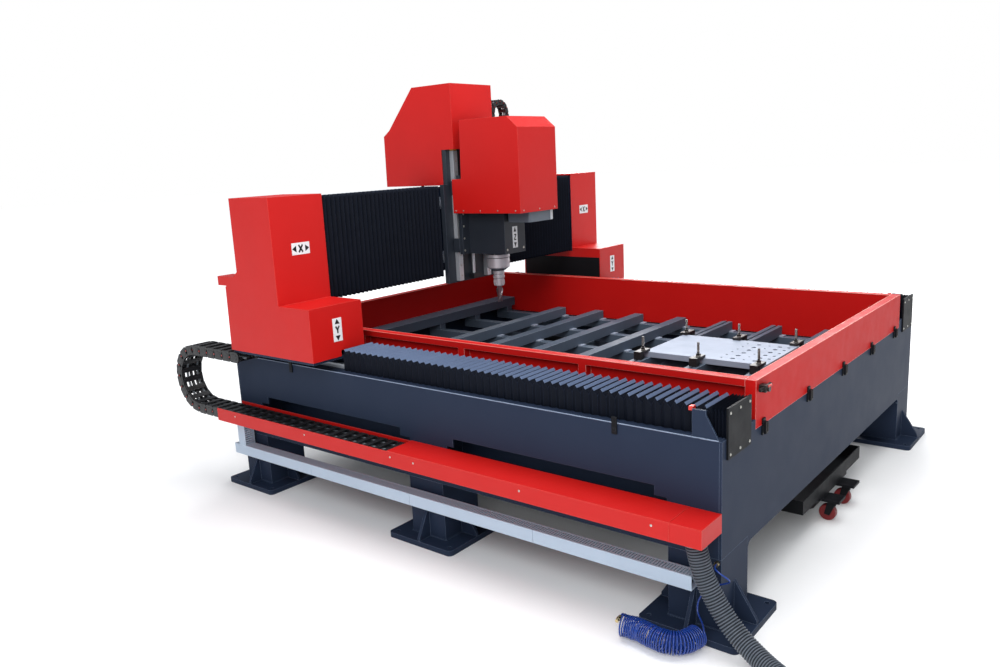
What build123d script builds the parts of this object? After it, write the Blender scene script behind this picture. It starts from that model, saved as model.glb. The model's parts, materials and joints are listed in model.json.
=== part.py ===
"""Moving-gantry CNC router for plate work, in millimetres.

Machine frame while modelling: X across the machine with 0 at the middle of the tray, Y from the
front face (0) to the rear, Z up from the floor. Every node is shifted by SHIFT when it is written,
so that the origin ends under the middle of the machine's bounding box.
"""
from build123d import *
from math import pi, radians, tan
import os

# ---- driving dimensions -------------------------------------------------------------------
SHIFT = Vector(11.5, -1542.25, 0)      # machine frame to row frame

BASE_HALF = 1287                    # half width over the side plates
BASE_LENGTH = 2790                  # front face to rear face
PLATE = 10                          # front and rear plate thickness
SKIN = 8                            # side plate thickness
BEAM_INNER = 1040                   # inner face of the side box beams
BEAM_LOW = 295                      # underside of the side box beams
BEAM_TOP = 726                      # rail seat
APRON_LOW = 271                     # lower edge of the front plate between the legs

TRAY_HALF = 1000                    # tray outer half width
TRAY_LENGTH = 2773
TRAY_TOP = 870
TRAY_RIM = 42
SHEET = 4

LEG_WIDE = 230                      # leg column along X
LEG_LONG = 204                      # leg column along Y
LEG_STARTS = (0, 1307, 2586)        # front face of each leg column
FOOT_X = 379
FOOT_Y = 385
FOOT_T = 25
FOOT_HOLE_R = 9
FOOT_HOLE_INSET = 32
GUSSET_T = 14

LONG_BAR_X = (-905, -543, -181, 181, 543, 905)
LONG_BAR = 50
CROSS_BAR_Y = (340, 645, 950, 1255, 1560, 1865, 2170)
SLOTTED_BARS = 3                    # the first bars carry a T-slot
CROSS_BAR_W = 60
CROSS_BAR_H = 57
BED_LEVEL = 600                     # top of the long bars
SUPPORT_Y = (300, 1000, 1700, 2400)

FIXTURE_X = (-95, 358)              # perforated plate
FIXTURE_Y = (315, 955)
FIXTURE_T = 28
CLAMP_X = (-115, 378)
STUD_R = 6

RAIL_X = 1130
RAIL_W = 34
RAIL_H = 24
RACK_X = 1210

POST_OUT = 1421                     # outer face of the post covers
POST_IN = 1099
POST_TOP = 1567
GANTRY_LOW = 798
STEP_TOP = 1052
STEP_FRONT = 1957
POST_FRONT = 2182
POST_REAR = 2492

BEAM_Y = (2240, 2480)
BEAM_Z = (1060, 1540)
BELLOWS_Z = (1034, 1556)

HEAD_X = -20                        # middle of the saddle and the spindle axis
SADDLE_HALF = 210
SADDLE_Y = (2160, 2188)
TOWER_HALF = 181
HOOD_HALF = 175
Z_RAIL_OFFSET = 126
SPINDLE_Y = 1955
BLOCK_HALF = 95
NOSE_R = 66
HOLDER_R = 33
CUTTER_R = 17.5

CHAIN_X = (-1430, -1302)
CHAIN_H = 54
CHAIN_LOW = 403
CHAIN_RADIUS = 191                  # outside of the loop
LOOP_Y = 2984

HOSE_R = 37.5
AIR_R = 3
WHEEL_R = 37.5
CASTOR_X = (-120, 95)
CASTOR_Y = -20
PAN_Z = (128, 190)


# ---- helpers ------------------------------------------------------------------------------
def block(x, y, z):
    """Box between the low and high values of each pair."""
    size = [high - low for low, high in (x, y, z)]
    middle = [(high + low) / 2 for low, high in (x, y, z)]
    return Pos(*middle) * Box(*size)


def profile_yz(points, x0, x1):
    """Closed outline in the YZ plane, drawn along X."""
    face = make_face(Polyline([(x0, y, z) for y, z in points], close=True))
    return extrude(face, amount=x1 - x0, dir=(1, 0, 0))


def profile_xz(points, y0, y1):
    """Closed outline in the XZ plane, drawn along Y."""
    face = make_face(Polyline([(x, y0, z) for x, z in points], close=True))
    return extrude(face, amount=y1 - y0, dir=(0, 1, 0))


def upright(x, y, z0, z1, r):
    """Vertical round bar."""
    return Pos(x, y, (z0 + z1) / 2) * Cylinder(r, z1 - z0)


def across(x0, x1, y, z, r):
    """Round bar along X."""
    return Pos((x0 + x1) / 2, y, z) * Rot(0, 90, 0) * Cylinder(r, x1 - x0)


def mirrored(shape):
    return mirror(shape, about=Plane.YZ)


def group(solids):
    return Compound(children=[s.solid() if hasattr(s, "solid") else s for s in solids])


def save(name, shape):
    moved = Pos(SHIFT.X, SHIFT.Y, SHIFT.Z) * shape
    moved.label = name
    export_step(moved, f"parts/{name}.step")


# ---- base ---------------------------------------------------------------------------------
def front_plate():
    wing = BASE_HALF - LEG_WIDE
    fillet = 30
    outline = [(-BASE_HALF, BEAM_LOW), (-wing, BEAM_LOW), (-wing, APRON_LOW), (wing, APRON_LOW),
               (wing, BEAM_LOW), (BASE_HALF, BEAM_LOW), (BASE_HALF, BEAM_TOP - 2),
               (TRAY_HALF, BEAM_TOP - 2), (TRAY_HALF, 687), (-TRAY_HALF, 687),
               (-TRAY_HALF, BEAM_TOP - 2), (-BASE_HALF, BEAM_TOP - 2)]
    plate = profile_xz(outline, 0, PLATE)
    corner = block((-wing, -wing + fillet), (0, PLATE), (APRON_LOW - fillet, APRON_LOW))
    round_part = Pos(-wing + fillet, PLATE / 2, APRON_LOW - fillet) * Rot(90, 0, 0) * Cylinder(fillet, 20)
    corner = corner - round_part
    return plate + corner + mirrored(corner)


def rear_plate():
    return block((-BASE_HALF, BASE_HALF), (BASE_LENGTH - PLATE, BASE_LENGTH), (BEAM_LOW, BEAM_TOP - 2))


def side_beam():
    """Left box beam: side plate with two stepped windows, rail seat and a bracket at the front."""
    y = (PLATE, BASE_LENGTH - PLATE)
    beam = block((-BASE_HALF, -BEAM_INNER), y, (BEAM_LOW, BEAM_TOP))
    inside_x = (-BASE_HALF + SKIN, -BEAM_INNER - 10)
    middle = (1390, 1402)
    beam -= block(inside_x, (y[0] + 12, middle[0]), (BEAM_LOW + 10, BEAM_TOP - 12))
    beam -= block(inside_x, (middle[1], y[1] - 12), (BEAM_LOW + 10, BEAM_TOP - 12))
    cut_x = (-BASE_HALF - 1, -BASE_HALF + SKIN + 1)
    for wide, narrow in (((207, 1267), (258, 1229)), ((1490, 2600), (1550, 2540))):
        beam -= block(cut_x, wide, (335, 480))
        beam -= block(cut_x, narrow, (335, 518))
    skin = (-BASE_HALF, -BASE_HALF + SKIN)
    beam += block(skin, (59, 110), (BEAM_TOP, 826))
    beam += profile_yz([(12, BEAM_TOP), (59, BEAM_TOP), (59, 810)], *skin)
    return beam


def leg(left, start):
    """Leg column with a foot plate and two gussets, as welded solids."""
    x0 = -BASE_HALF if left else BASE_HALF - LEG_WIDE
    x1 = x0 + LEG_WIDE
    y1 = start + LEG_LONG
    column = block((x0, x1), (start, y1), (FOOT_T, BEAM_LOW))
    cx = (x0 + x1) / 2
    cy = (start + y1) / 2
    plate = Pos(cx, cy, FOOT_T / 2) * Box(FOOT_X, FOOT_Y, FOOT_T)
    plate = fillet(plate.edges().filter_by(Axis.Z), 22)
    for sx in (-1, 1):
        for sy in (-1, 1):
            hx = cx + sx * (FOOT_X / 2 - FOOT_HOLE_INSET)
            hy = cy + sy * (FOOT_Y / 2 - FOOT_HOLE_INSET)
            plate -= upright(hx, hy, -1, FOOT_T + 1, FOOT_HOLE_R)
    outer = x0 if left else x1
    out = -1 if left else 1
    toe = (FOOT_X - LEG_WIDE) / 2 - 4
    side = profile_xz([(outer, FOOT_T), (outer + out * toe, FOOT_T), (outer + out * toe, FOOT_T + 14),
                       (outer, FOOT_T + 150)], cy - GUSSET_T / 2, cy + GUSSET_T / 2)
    reach = (FOOT_Y - LEG_LONG) / 2 - 4
    face_front = profile_yz([(start, FOOT_T), (start - reach, FOOT_T), (start - reach, FOOT_T + 14),
                             (start, FOOT_T + 150)], cx - GUSSET_T / 2, cx + GUSSET_T / 2)
    face_rear = profile_yz([(y1, FOOT_T), (y1 + reach, FOOT_T), (y1 + reach, FOOT_T + 14),
                            (y1, FOOT_T + 150)], cx - GUSSET_T / 2, cx + GUSSET_T / 2)
    return group([column, plate, side, face_front, face_rear])


def bed_frame():
    """Support beams between the side beams, long bars on them and a ledge at the rear wall."""
    solids = []
    for y in SUPPORT_Y:
        solids.append(block((-BEAM_INNER, BEAM_INNER), (y - 50, y + 50), (450, BED_LEVEL - LONG_BAR)))
    for x in LONG_BAR_X:
        solids.append(block((x - LONG_BAR / 2, x + LONG_BAR / 2), (60, 2720), (BED_LEVEL - LONG_BAR, BED_LEVEL)))
        solids.append(block((x - LONG_BAR / 2, x + LONG_BAR / 2), (2620, 2720), (BED_LEVEL, 640)))
    solids.append(block((-956, 956), (2610, 2730), (640, 698)))
    return group(solids)


def t_slot(y, top):
    slot = block((-1000, 1000), (y - 7, y + 7), (top - 14, top + 1))
    return slot + block((-1000, 1000), (y - 12, y + 12), (top - 24, top - 14))


def cross_bars():
    top = BED_LEVEL + CROSS_BAR_H
    solids = []
    for number, y in enumerate(CROSS_BAR_Y):
        bar = block((-930, 930), (y - CROSS_BAR_W / 2, y + CROSS_BAR_W / 2), (BED_LEVEL, top))
        if number < SLOTTED_BARS:
            bar -= t_slot(y, top)
        solids.append(bar)
    return group(solids)


def fixture_plate():
    low = BED_LEVEL + CROSS_BAR_H
    plate = block(FIXTURE_X, FIXTURE_Y, (low, low + FIXTURE_T))
    for y, radius in ((345, 9), (390, 12), (445, 6), (500, 12), (560, 6)):
        for column in range(6):
            plate -= upright(-39 + 66 * column, y, low - 1, low + FIXTURE_T + 1, radius)
    return plate


def strap_clamp(x, y, side):
    """Strap on the plate's edge, its heel block, stud with T-head, and nut."""
    rest = BED_LEVEL + CROSS_BAR_H
    top = rest + FIXTURE_T
    inward = 38 * side
    outward = -62 * side
    low, high = sorted((x + inward, x + outward))
    strap = block((low, high), (y - 20, y + 20), (top, top + 14)) - upright(x, y, top - 1, top + 15, STUD_R + 0.5)
    a, b = sorted((x - 62 * side, x - 30 * side))
    heel = block((a, b), (y - 20, y + 20), (rest, top))
    stud = upright(x, y, rest - 16, top + 82, STUD_R) + upright(x, y, rest - 23, rest - 16, 11)
    nut = Pos(x, y, top + 20) * extrude(RegularPolygon(11, 6), amount=6, both=True)
    nut -= upright(x, y, top + 10, top + 30, STUD_R + 0.05)
    return [strap, heel, stud, nut]


def strap_clamps():
    solids = []
    for y in CROSS_BAR_Y[:SLOTTED_BARS]:
        solids += strap_clamp(CLAMP_X[0], y, 1)
        solids += strap_clamp(CLAMP_X[1], y, -1)
    return group(solids)


def end_wall(y0, low):
    """Front or rear tray wall: folded sheet, an inverted U drawn along X."""
    outer = block((-TRAY_HALF, TRAY_HALF), (y0, y0 + TRAY_RIM), (low, TRAY_TOP))
    hollow = block((-TRAY_HALF + SHEET, TRAY_HALF - SHEET), (y0 + SHEET, y0 + TRAY_RIM - SHEET),
                   (low - 1, TRAY_TOP - SHEET))
    return outer - hollow


def side_wall():
    """Left tray wall: a sheet with a top rail and upright ribs on its outer side."""
    y = (TRAY_RIM, TRAY_LENGTH - TRAY_RIM)
    inner = (-TRAY_HALF + TRAY_RIM - SHEET, -TRAY_HALF + TRAY_RIM)
    wall = block(inner, y, (BED_LEVEL, 842))
    wall += block((-TRAY_HALF, inner[1]), y, (842, TRAY_TOP))
    for centre in (742, 1407, 2080, 2712):
        wall += block((-TRAY_HALF, inner[0]), (centre - 19, centre + 19), (BED_LEVEL, 842))
    return wall


def chip_chutes():
    """Two sloping plates that lead chips to the tray under the bed."""
    left = profile_xz([(-1038, 440), (-1038, 432), (-330, 280), (-330, 288)], 14, 2776)
    right = profile_xz([(1038, 440), (1038, 432), (330, 280), (330, 288)], 14, 2776)
    return group([left, right])


def y_rails():
    solids = []
    for side in (-1, 1):
        x = side * RAIL_X
        rail = block((x - RAIL_W / 2, x + RAIL_W / 2), (20, 2770), (BEAM_TOP, BEAM_TOP + RAIL_H))
        rack = block((side * RACK_X - 12, side * RACK_X + 12), (20, 2770), (BEAM_TOP, BEAM_TOP + 22))
        solids += [rail, rack]
    return group(solids)


def bellows_end_plates():
    """Plates that hold the ends of the way covers."""
    solids = []
    for side in (-1, 1):
        low, high = sorted((side * 1254, side * 1058))
        solids.append(block((low, high), (-8, 0), (652, 835)))
        solids.append(block((low, high), (BASE_LENGTH, BASE_LENGTH + 8), (652, 835)))
    return group(solids)


def cable_tray():
    """Open channel along the left side with a lid over its front half."""
    x = (-1444, -BASE_HALF)
    z = (398, 465)
    y = (0, 2780)
    floor = block(x, y, (z[0], z[0] + 3)) - upright(-1366, 62, z[0] - 1, z[0] + 4, HOSE_R + 1)
    outer = block((x[0], x[0] + 3), y, (z[0] + 3, z[1]))
    inner = block((x[1] - 3, x[1]), y, (z[0] + 3, z[1]))
    lid = block(x, (0, 1480), (z[1], z[1] + 3))
    cap = block((x[0] + 3, x[1] - 3), (0, 3), (z[0] + 3, z[1]))
    return group([floor, outer, inner, lid, cap])


def wiring_duct():
    """Long wiring duct on the legs with an upright branch to the cable tray."""
    x = (-1361, -1301)
    duct = block(x, (76, 2782), (190, 245)) - block((x[0] + 3, x[1] - 3), (75, 2783), (193, 242))
    branch = block((-1361, -1301), (2680, 2740), (245, 398))
    branch -= block((-1358, -1304), (2683, 2737), (244, 399))
    solids = [duct, branch]
    for start in LEG_STARTS:
        middle = start + LEG_LONG / 2
        solids.append(block((x[1], -BASE_HALF), (middle - 25, middle + 25), (200, 235)))
    return group(solids)


def toggle_latches():
    """Five toggle latches that hold the tray's front wall on the base."""
    solids = []
    for x in (-930, -445, 22, 470, 901):
        solids.append(block((x - 16, x + 16), (-6, 0), (650, 684)))
        solids.append(block((x - 10, x + 10), (-16, -6), (654, 700)))
        solids.append(block((x - 13, x + 13), (-6, 0), (690, 712)))
    return group(solids)


def air_valve():
    """Small air fitting on the front wall near its left end."""
    body = block((-975, -945), (-26, 0), (822, 848))
    spout = across(-945, -900, -14, 835, 8)
    tail = across(-1000, -975, -14, 835, 6)
    knob = Pos(-960, -31, 835) * Rot(90, 0, 0) * Cylinder(11, 10)
    return body + spout + tail + knob


# ---- cable chain of the long axis ----------------------------------------------------------
def chain_lower():
    return block(CHAIN_X, (1480, LOOP_Y), (CHAIN_LOW, CHAIN_LOW + CHAIN_H))


def chain_upper():
    top = CHAIN_LOW + 2 * CHAIN_RADIUS
    return block(CHAIN_X, (2560, LOOP_Y), (top - CHAIN_H, top))


def chain_loop():
    middle = CHAIN_LOW + CHAIN_RADIUS
    ring = across(*CHAIN_X, LOOP_Y, middle, CHAIN_RADIUS)
    ring -= across(CHAIN_X[0] - 1, CHAIN_X[1] + 1, LOOP_Y, middle, CHAIN_RADIUS - CHAIN_H)
    return ring - block((CHAIN_X[0] - 1, CHAIN_X[1] + 1), (LOOP_Y - 300, LOOP_Y), (300, 900))


# ---- gantry --------------------------------------------------------------------------------
POST_OUTLINE = [(STEP_FRONT, GANTRY_LOW), (STEP_FRONT, STEP_TOP), (POST_FRONT, STEP_TOP),
                (POST_FRONT, POST_TOP), (POST_REAR, POST_TOP), (POST_REAR, 1205), (2604, 1124),
                (2612, GANTRY_LOW)]


def shell(points, x0, x1, wall):
    """Prism of an outline in the YZ plane, hollowed by an even wall."""
    solid = profile_yz(points, x0, x1)
    face = make_face(Polyline([(x0 + wall, y, z) for y, z in points], close=True))
    inner = extrude(offset(face, amount=-wall, kind=Kind.INTERSECTION), amount=x1 - x0 - 2 * wall, dir=(1, 0, 0))
    return solid - inner


def post_cover():
    """Left post cover: folded sheet, open below and where the beam enters."""
    cover = shell(POST_OUTLINE, -POST_OUT, -POST_IN, SHEET)
    inside_x = (-POST_OUT + SHEET, -POST_IN - SHEET)
    cover -= block(inside_x, (STEP_FRONT + SHEET, 2606), (GANTRY_LOW - 1, GANTRY_LOW + SHEET + 1))
    cover -= block((-POST_IN - SHEET - 1, -POST_IN + 1), (BEAM_Y[0] - 56, BEAM_Y[1] + 4), (1030, BEAM_Z[1] + 18))
    cover -= block((-1248, -POST_IN + 1), (STEP_FRONT - 1, STEP_FRONT + SHEET + 1), (GANTRY_LOW - 1, 827))
    return cover + block((-POST_OUT, -1330), (POST_REAR, 2665), (1131, 1177))


def gantry_post():
    """Left post column, its foot plate and its two rail bearings."""
    column = block((-1380, -1120), (2200, 2480), (GANTRY_LOW, 1560))
    column -= block((-1366, -1134), (2214, 2466), (GANTRY_LOW - 1, 1561))
    foot = block((-1415, -1105), (1965, 2600), (785, GANTRY_LOW))
    solids = [column, foot]
    for y in (2000, 2440):
        bearing = block((-RAIL_X - 36, -RAIL_X + 36), (y, y + 120), (BEAM_TOP + 6, 785))
        bearing -= block((-RAIL_X - RAIL_W / 2 - 0.5, -RAIL_X + RAIL_W / 2 + 0.5), (y - 1, y + 121),
                         (BEAM_TOP, BEAM_TOP + RAIL_H + 0.5))
        solids.append(bearing)
    return group(solids)


def gantry_beam():
    beam = block((-1120, 1120), BEAM_Y, BEAM_Z)
    return beam - block((-1121, 1121), (BEAM_Y[0] + 14, BEAM_Y[1] - 14), (BEAM_Z[0] + 14, BEAM_Z[1] - 14))


X_RAIL_Z = (1143, 1457)


def x_rails():
    solids = []
    for z in X_RAIL_Z:
        solids.append(block((-1085, 1085), (BEAM_Y[0] - 28, BEAM_Y[0]), (z - 17, z + 17)))
    solids.append(block((-1085, 1085), (BEAM_Y[1], BEAM_Y[1] + 20), (1500, 1524)))
    return group(solids)


def y_motors():
    """Geared motors that stand on the two gantry feet."""
    solids = []
    for side in (-1, 1):
        x = side * 1205
        gearbox = block((x - 50, x + 50), (2010, 2110), (GANTRY_LOW, 880))
        motor = upright(x, 2060, 880, 1030, 44)
        solids.append(gearbox + motor)
    return group(solids)


def y_bellows():
    """Way covers over both long rails, in front of and behind the gantry."""
    solids = []
    for side in (-1, 1):
        for y in ((0, STEP_FRONT - 2), (2616, BASE_LENGTH)):
            low, high = sorted((side * 1250, side * 1062))
            cover = block((low, high), y, (BEAM_TOP + 0.5, 833))
            cover -= block((low + 16, high - 16), (y[0] - 1, y[1] + 1), (BEAM_TOP, 800))
            solids.append(cover)
    return group(solids)


def x_bellows():
    """Folded covers over the beam's rails on both sides of the saddle."""
    spans = ((-POST_IN + 6, HEAD_X - SADDLE_HALF - 2), (HEAD_X + SADDLE_HALF + 2, POST_IN - 6))
    solids = []
    for x in spans:
        front = block(x, (2184, 2208), BELLOWS_Z)
        top = block(x, (2208, 2300), (BELLOWS_Z[1] - 14, BELLOWS_Z[1]))
        bottom = block(x, (2208, 2300), (BELLOWS_Z[0], BELLOWS_Z[0] + 14))
        solids.append(front + top + bottom)
    return group(solids)


# ---- saddle --------------------------------------------------------------------------------
def saddle_plate():
    """Upright plate in front of the beam and a bridge plate over it."""
    plate = block((HEAD_X - SADDLE_HALF, HEAD_X + SADDLE_HALF), SADDLE_Y, (990, 1562))
    neck = block((HEAD_X - TOWER_HALF + SHEET, HEAD_X + TOWER_HALF - SHEET), SADDLE_Y, (1562, 1790))
    bridge = block((HEAD_X - TOWER_HALF + SHEET, HEAD_X + TOWER_HALF - SHEET), (SADDLE_Y[1], 2640), (1562, 1580))
    bridge -= upright(HEAD_X, 2525.3, 1561, 1581, 16)
    return group([plate + neck, bridge])


def x_bearings():
    solids = []
    for z in X_RAIL_Z:
        for x in (HEAD_X - 185, HEAD_X + 85):
            bearing = block((x, x + 100), (SADDLE_Y[1], 2234), (z - 34, z + 34))
            bearing -= block((x - 1, x + 101), (BEAM_Y[0] - 28.5, BEAM_Y[0]), (z - 17.5, z + 17.5))
            solids.append(bearing)
    return group(solids)


def tower_cover():
    """Sheet cover over the motors behind the upright axis."""
    outline = [(2189, 1557), (2189, 1757), (2095, 1757), (2095, 2118), (2392, 2118), (2599, 1888),
               (2648, 1855), (2652, 1557)]
    x = (HEAD_X - TOWER_HALF, HEAD_X + TOWER_HALF)
    inside = (x[0] + SHEET, x[1] - SHEET)
    cover = shell(outline, *x, SHEET)
    cover -= block(inside, (2180, 2648), (1550, 1562))
    cover -= block(inside, (2180, 2194), (1550, 1762))
    cover -= block(inside, (2101, 2194), (1750, 1765))
    return cover


def x_motor():
    """Geared motor of the cross axis with its pinion at the rack."""
    y = 2525.3
    housing = block((HEAD_X - 50, HEAD_X + 50), (y - 45, y + 55), (1580, 1650))
    motor = upright(HEAD_X, y, 1650, 1790, 44)
    shaft = upright(HEAD_X, y, 1500, 1580, 10)
    pinion = upright(HEAD_X, y, 1500, 1524, 25)
    return housing + motor + shaft + pinion


def z_rails():
    solids = []
    for side in (-1, 1):
        x = HEAD_X + side * Z_RAIL_OFFSET
        solids.append(block((x - 17, x + 17), (SADDLE_Y[0] - 28, SADDLE_Y[0]), (1000, 1750)))
    return group(solids)


SCREW_Y = 2146
SCREW_R = 9


def z_motor():
    """Motor on the screw's upper end, and the screw's lower bearing."""
    bracket = block((HEAD_X - 43, HEAD_X + 43), (2103, 2160), (1752, 1766))
    bracket -= upright(HEAD_X, SCREW_Y, 1751, 1767, SCREW_R + 0.05)
    motor = block((HEAD_X - 43, HEAD_X + 43), (2103, 2160), (1795, 1960))
    web = block((HEAD_X - 43, HEAD_X - 30), (2103, 2160), (1766, 1795))
    lower = block((HEAD_X - 30, HEAD_X + 30), (2120, 2160), (1000, 1030))
    lower -= upright(HEAD_X, SCREW_Y, 1010, 1031, SCREW_R + 0.05)
    return group([bracket + motor + web + mirror(web, about=Plane.YZ.offset(HEAD_X)), lower])


def z_screw():
    screw = upright(HEAD_X, SCREW_Y, 1011, 1785, SCREW_R)
    return screw - block((HEAD_X - 20, HEAD_X + 20), (SCREW_Y + 6, SCREW_Y + 20), (1770, 1790))


def z_chain():
    """Cable chain arch beside the tower, from the tower to the carriage arm."""
    inner = (165, 195)
    outer = (300, 330)
    y = (2097, 2157)
    middle_x = (inner[0] + outer[1]) / 2
    radius = (outer[1] - inner[0]) / 2
    arch_z = 1960
    arch = Pos(middle_x, (y[0] + y[1]) / 2, arch_z) * Rot(90, 0, 0) * Cylinder(radius, y[1] - y[0])
    arch -= Pos(middle_x, (y[0] + y[1]) / 2, arch_z) * Rot(90, 0, 0) * Cylinder(radius - 30, 100)
    arch -= block((0, 400), (2000, 2200), (arch_z - 200, arch_z))
    fixed = block(inner, y, (1800, arch_z))
    moving = block(outer, y, (1611, arch_z))
    return arch + fixed + moving


# ---- carriage ------------------------------------------------------------------------------
def carriage_plate():
    """Carriage plate, its four bearings, the screw nut and the chain arm."""
    plate = block((HEAD_X - 152, HEAD_X + 152), (2087, 2112), (1158, 1610))
    arm = block((HEAD_X + 152, 330), (2087, 2112), (1592, 1610))
    solids = [plate + arm]
    for side in (-1, 1):
        x = HEAD_X + side * Z_RAIL_OFFSET
        for z in (1170, 1500):
            bearing = block((x - 30, x + 30), (2112, 2154), (z, z + 80))
            bearing -= block((x - 17.5, x + 17.5), (SADDLE_Y[0] - 28.5, 2160), (z - 1, z + 81))
            solids.append(bearing)
    nut = block((HEAD_X - 28, HEAD_X + 28), (2112, 2158), (1380, 1440))
    nut -= upright(HEAD_X, SCREW_Y, 1379, 1441, SCREW_R + 0.05)
    solids.append(nut)
    return group(solids)


def spindle_block():
    """Spindle housing with its round nose, bored for the tool holder."""
    housing = block((HEAD_X + 5 - BLOCK_HALF, HEAD_X + 5 + BLOCK_HALF), (1826, 2087), (1158, 1420))
    nose = upright(HEAD_X, SPINDLE_Y, 1075, 1158, NOSE_R)
    taper = Pos(HEAD_X, SPINDLE_Y, 1065) * Cone(42, NOSE_R, 20)
    return housing + nose + taper - upright(HEAD_X, SPINDLE_Y, 1050, 1101, 28.05)


def spindle_cover():
    """Sheet hood over the spindle drive, open below and behind."""
    outline = [(1640, 1397), (1640, 1853), (1711, 1914), (2046, 1914), (2056, 1590), (2125, 1590),
               (2125, 1397)]
    x = (HEAD_X - HOOD_HALF, HEAD_X + HOOD_HALF)
    wall = 3
    inside = (x[0] + wall, x[1] - wall)
    hood = shell(outline, *x, wall)
    hood -= block(inside, (1640 + wall, 2130), (1390, 1401))
    hood -= block(inside, (2036, 2130), (1395, 1914 - wall))
    return hood


def spindle_motor():
    body = block((HEAD_X - 72, HEAD_X + 138), (1655, 1815), (1340, 1780))
    return fillet(body.edges().filter_by(Axis.Z), 14)


def tool_holder():
    """Tool holder with two drive slots, and a cutter."""
    holder = upright(HEAD_X, SPINDLE_Y, 966, 1053, HOLDER_R)
    holder += upright(HEAD_X, SPINDLE_Y, 1053, 1099, 28)
    groove = upright(HEAD_X, SPINDLE_Y, 976, 984, 60) - upright(HEAD_X, SPINDLE_Y, 975, 985, HOLDER_R - 5)
    holder -= groove
    for side in (-1, 1):
        x = HEAD_X + side * HOLDER_R
        holder -= block((x - 7, x + 7), (SPINDLE_Y - 7, SPINDLE_Y + 7), (1030, 1054))
    cutter = upright(HEAD_X, SPINDLE_Y, 865, 966, CUTTER_R)
    for side in (-1, 1):
        x = HEAD_X + side * CUTTER_R
        cutter -= block((x - 6, x + 6), (SPINDLE_Y - 8, SPINDLE_Y + 8), (860, 930))
    return holder + cutter


# ---- chip tray on castors ------------------------------------------------------------------
def chip_tray():
    """Roll-out chip tray: pan, castor housing with a skirt in front and two skids behind."""
    x = (-420, 400)
    y = (15, 2640)
    low, high = PAN_Z
    pan = block(x, y, PAN_Z) - block((x[0] + 5, x[1] - 5), (y[0] + 5, y[1] - 5), (low + 5, high + 1))
    housing = block((-200, 190), (15, 120), (112, low))
    housing += profile_xz([(-400, low), (-175, 62), (215, 62), (215, low)], 50, 56)
    for centre in CASTOR_X:
        housing += block((centre - 45, centre + 45), (-60, 60), (100, 112))
    for centre in CASTOR_X:
        housing -= upright(centre, CASTOR_Y, 99, 113, 8.05)
    solids = [pan, housing]
    for centre in (-300, 280):
        solids.append(block((centre - 30, centre + 30), (2520, 2620), (0, low)))
    return group(solids)


def castor_fork(x):
    """Swivel fork with its axle; the wheel trails behind the swivel axis."""
    wheel_y = CASTOR_Y + 22
    fork = block((x - 22, x + 22), (CASTOR_Y - 20, CASTOR_Y + 20), (92, 99.7))
    fork += upright(x, CASTOR_Y, 99, 112, 8)
    for side in (-1, 1):
        low, high = sorted((x + side * 17, x + side * 21))
        cheek = profile_yz([(CASTOR_Y - 20, 96), (CASTOR_Y + 20, 96), (wheel_y + 12, WHEEL_R - 6),
                            (wheel_y - 12, WHEEL_R - 10)], low, high)
        fork += cheek
    return fork + across(x - 21, x + 21, wheel_y, WHEEL_R, 5)


def castor_wheel(x):
    wheel_y = CASTOR_Y + 22
    wheel = fillet(across(x - 15, x + 15, wheel_y, WHEEL_R, WHEEL_R).edges(), 4)
    return wheel - across(x - 20, x + 20, wheel_y, WHEEL_R, 5.05)


# ---- hoses ---------------------------------------------------------------------------------
HOSE_ROUTE = [(-1366, 62, 397), (-1366, 44, 303), (-1366, 8, 222), (-1369, -38, 152), (-1378, -92, 98),
              (-1396, -158, 60), (-1428, -232, 41), (-1466, -310, 38), (-1498, -396, 38), (-1518, -488, 38)]
AIR_ROUTE = [(-1301, 14, 282), (-1322, 12, 283), (-1338, -6, 279), (-1337, -30, 268), (-1322, -44, 251),
             (-1306, -38, 233), (-1300, -16, 218), (-1301, 10, 206), (-1306, 34, 192), (-1314, 54, 172),
             (-1322, 66, 148), (-1330, 70, 124), (-1340, 64, 104), (-1354, 48, 93), (-1371, 30, 86),
             (-1388, 14, 77)]
COIL_LINE = [(-1385, 40, 48), (-1450, 52, 48), (-1486, 100, 48), (-1482, 170, 48), (-1464, 235, 48),
             (-1478, 298, 48)]
COIL_R = 45


def limp_tube(route, radius, name):
    """Straight runs joined by tangent arcs, swept by a circle."""
    points = [Vector(*p) for p in route]
    radii = []
    for before, corner, after in zip(points, points[1:], points[2:]):
        turn = (corner - before).get_angle(after - corner)
        shorter = min((corner - before).length, (after - corner).length)
        radii.append(0.45 * shorter / tan(radians(turn) / 2))
    path = FilletPolyline(*points, radius=radii)
    print(name, "length", round(path.length, 1), "radii", [round(r) for r in radii])
    section = Plane(origin=points[0], z_dir=points[1] - points[0]) * Circle(radius)
    tube = sweep(section, path=path)
    print(name, "volume ratio", round(tube.volume / (pi * radius ** 2 * path.length), 5))
    return tube


def hose_coupling():
    """Round coupling on the far end of the conduit hose."""
    end = Vector(*HOSE_ROUTE[-1])
    away = (end - Vector(*HOSE_ROUTE[-2])).normalized()
    body = Pos(0, 0, 45) * Cylinder(HOSE_R + 0.4, 90)
    return Plane(origin=end, z_dir=away) * body


def air_fitting():
    """Push-in fitting on the front leg for the air hose."""
    x, y, z = AIR_ROUTE[0]
    return across(x, -BASE_HALF, y, z, 9)


# ---- write all nodes -----------------------------------------------------------------------
os.makedirs("parts", exist_ok=True)

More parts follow.
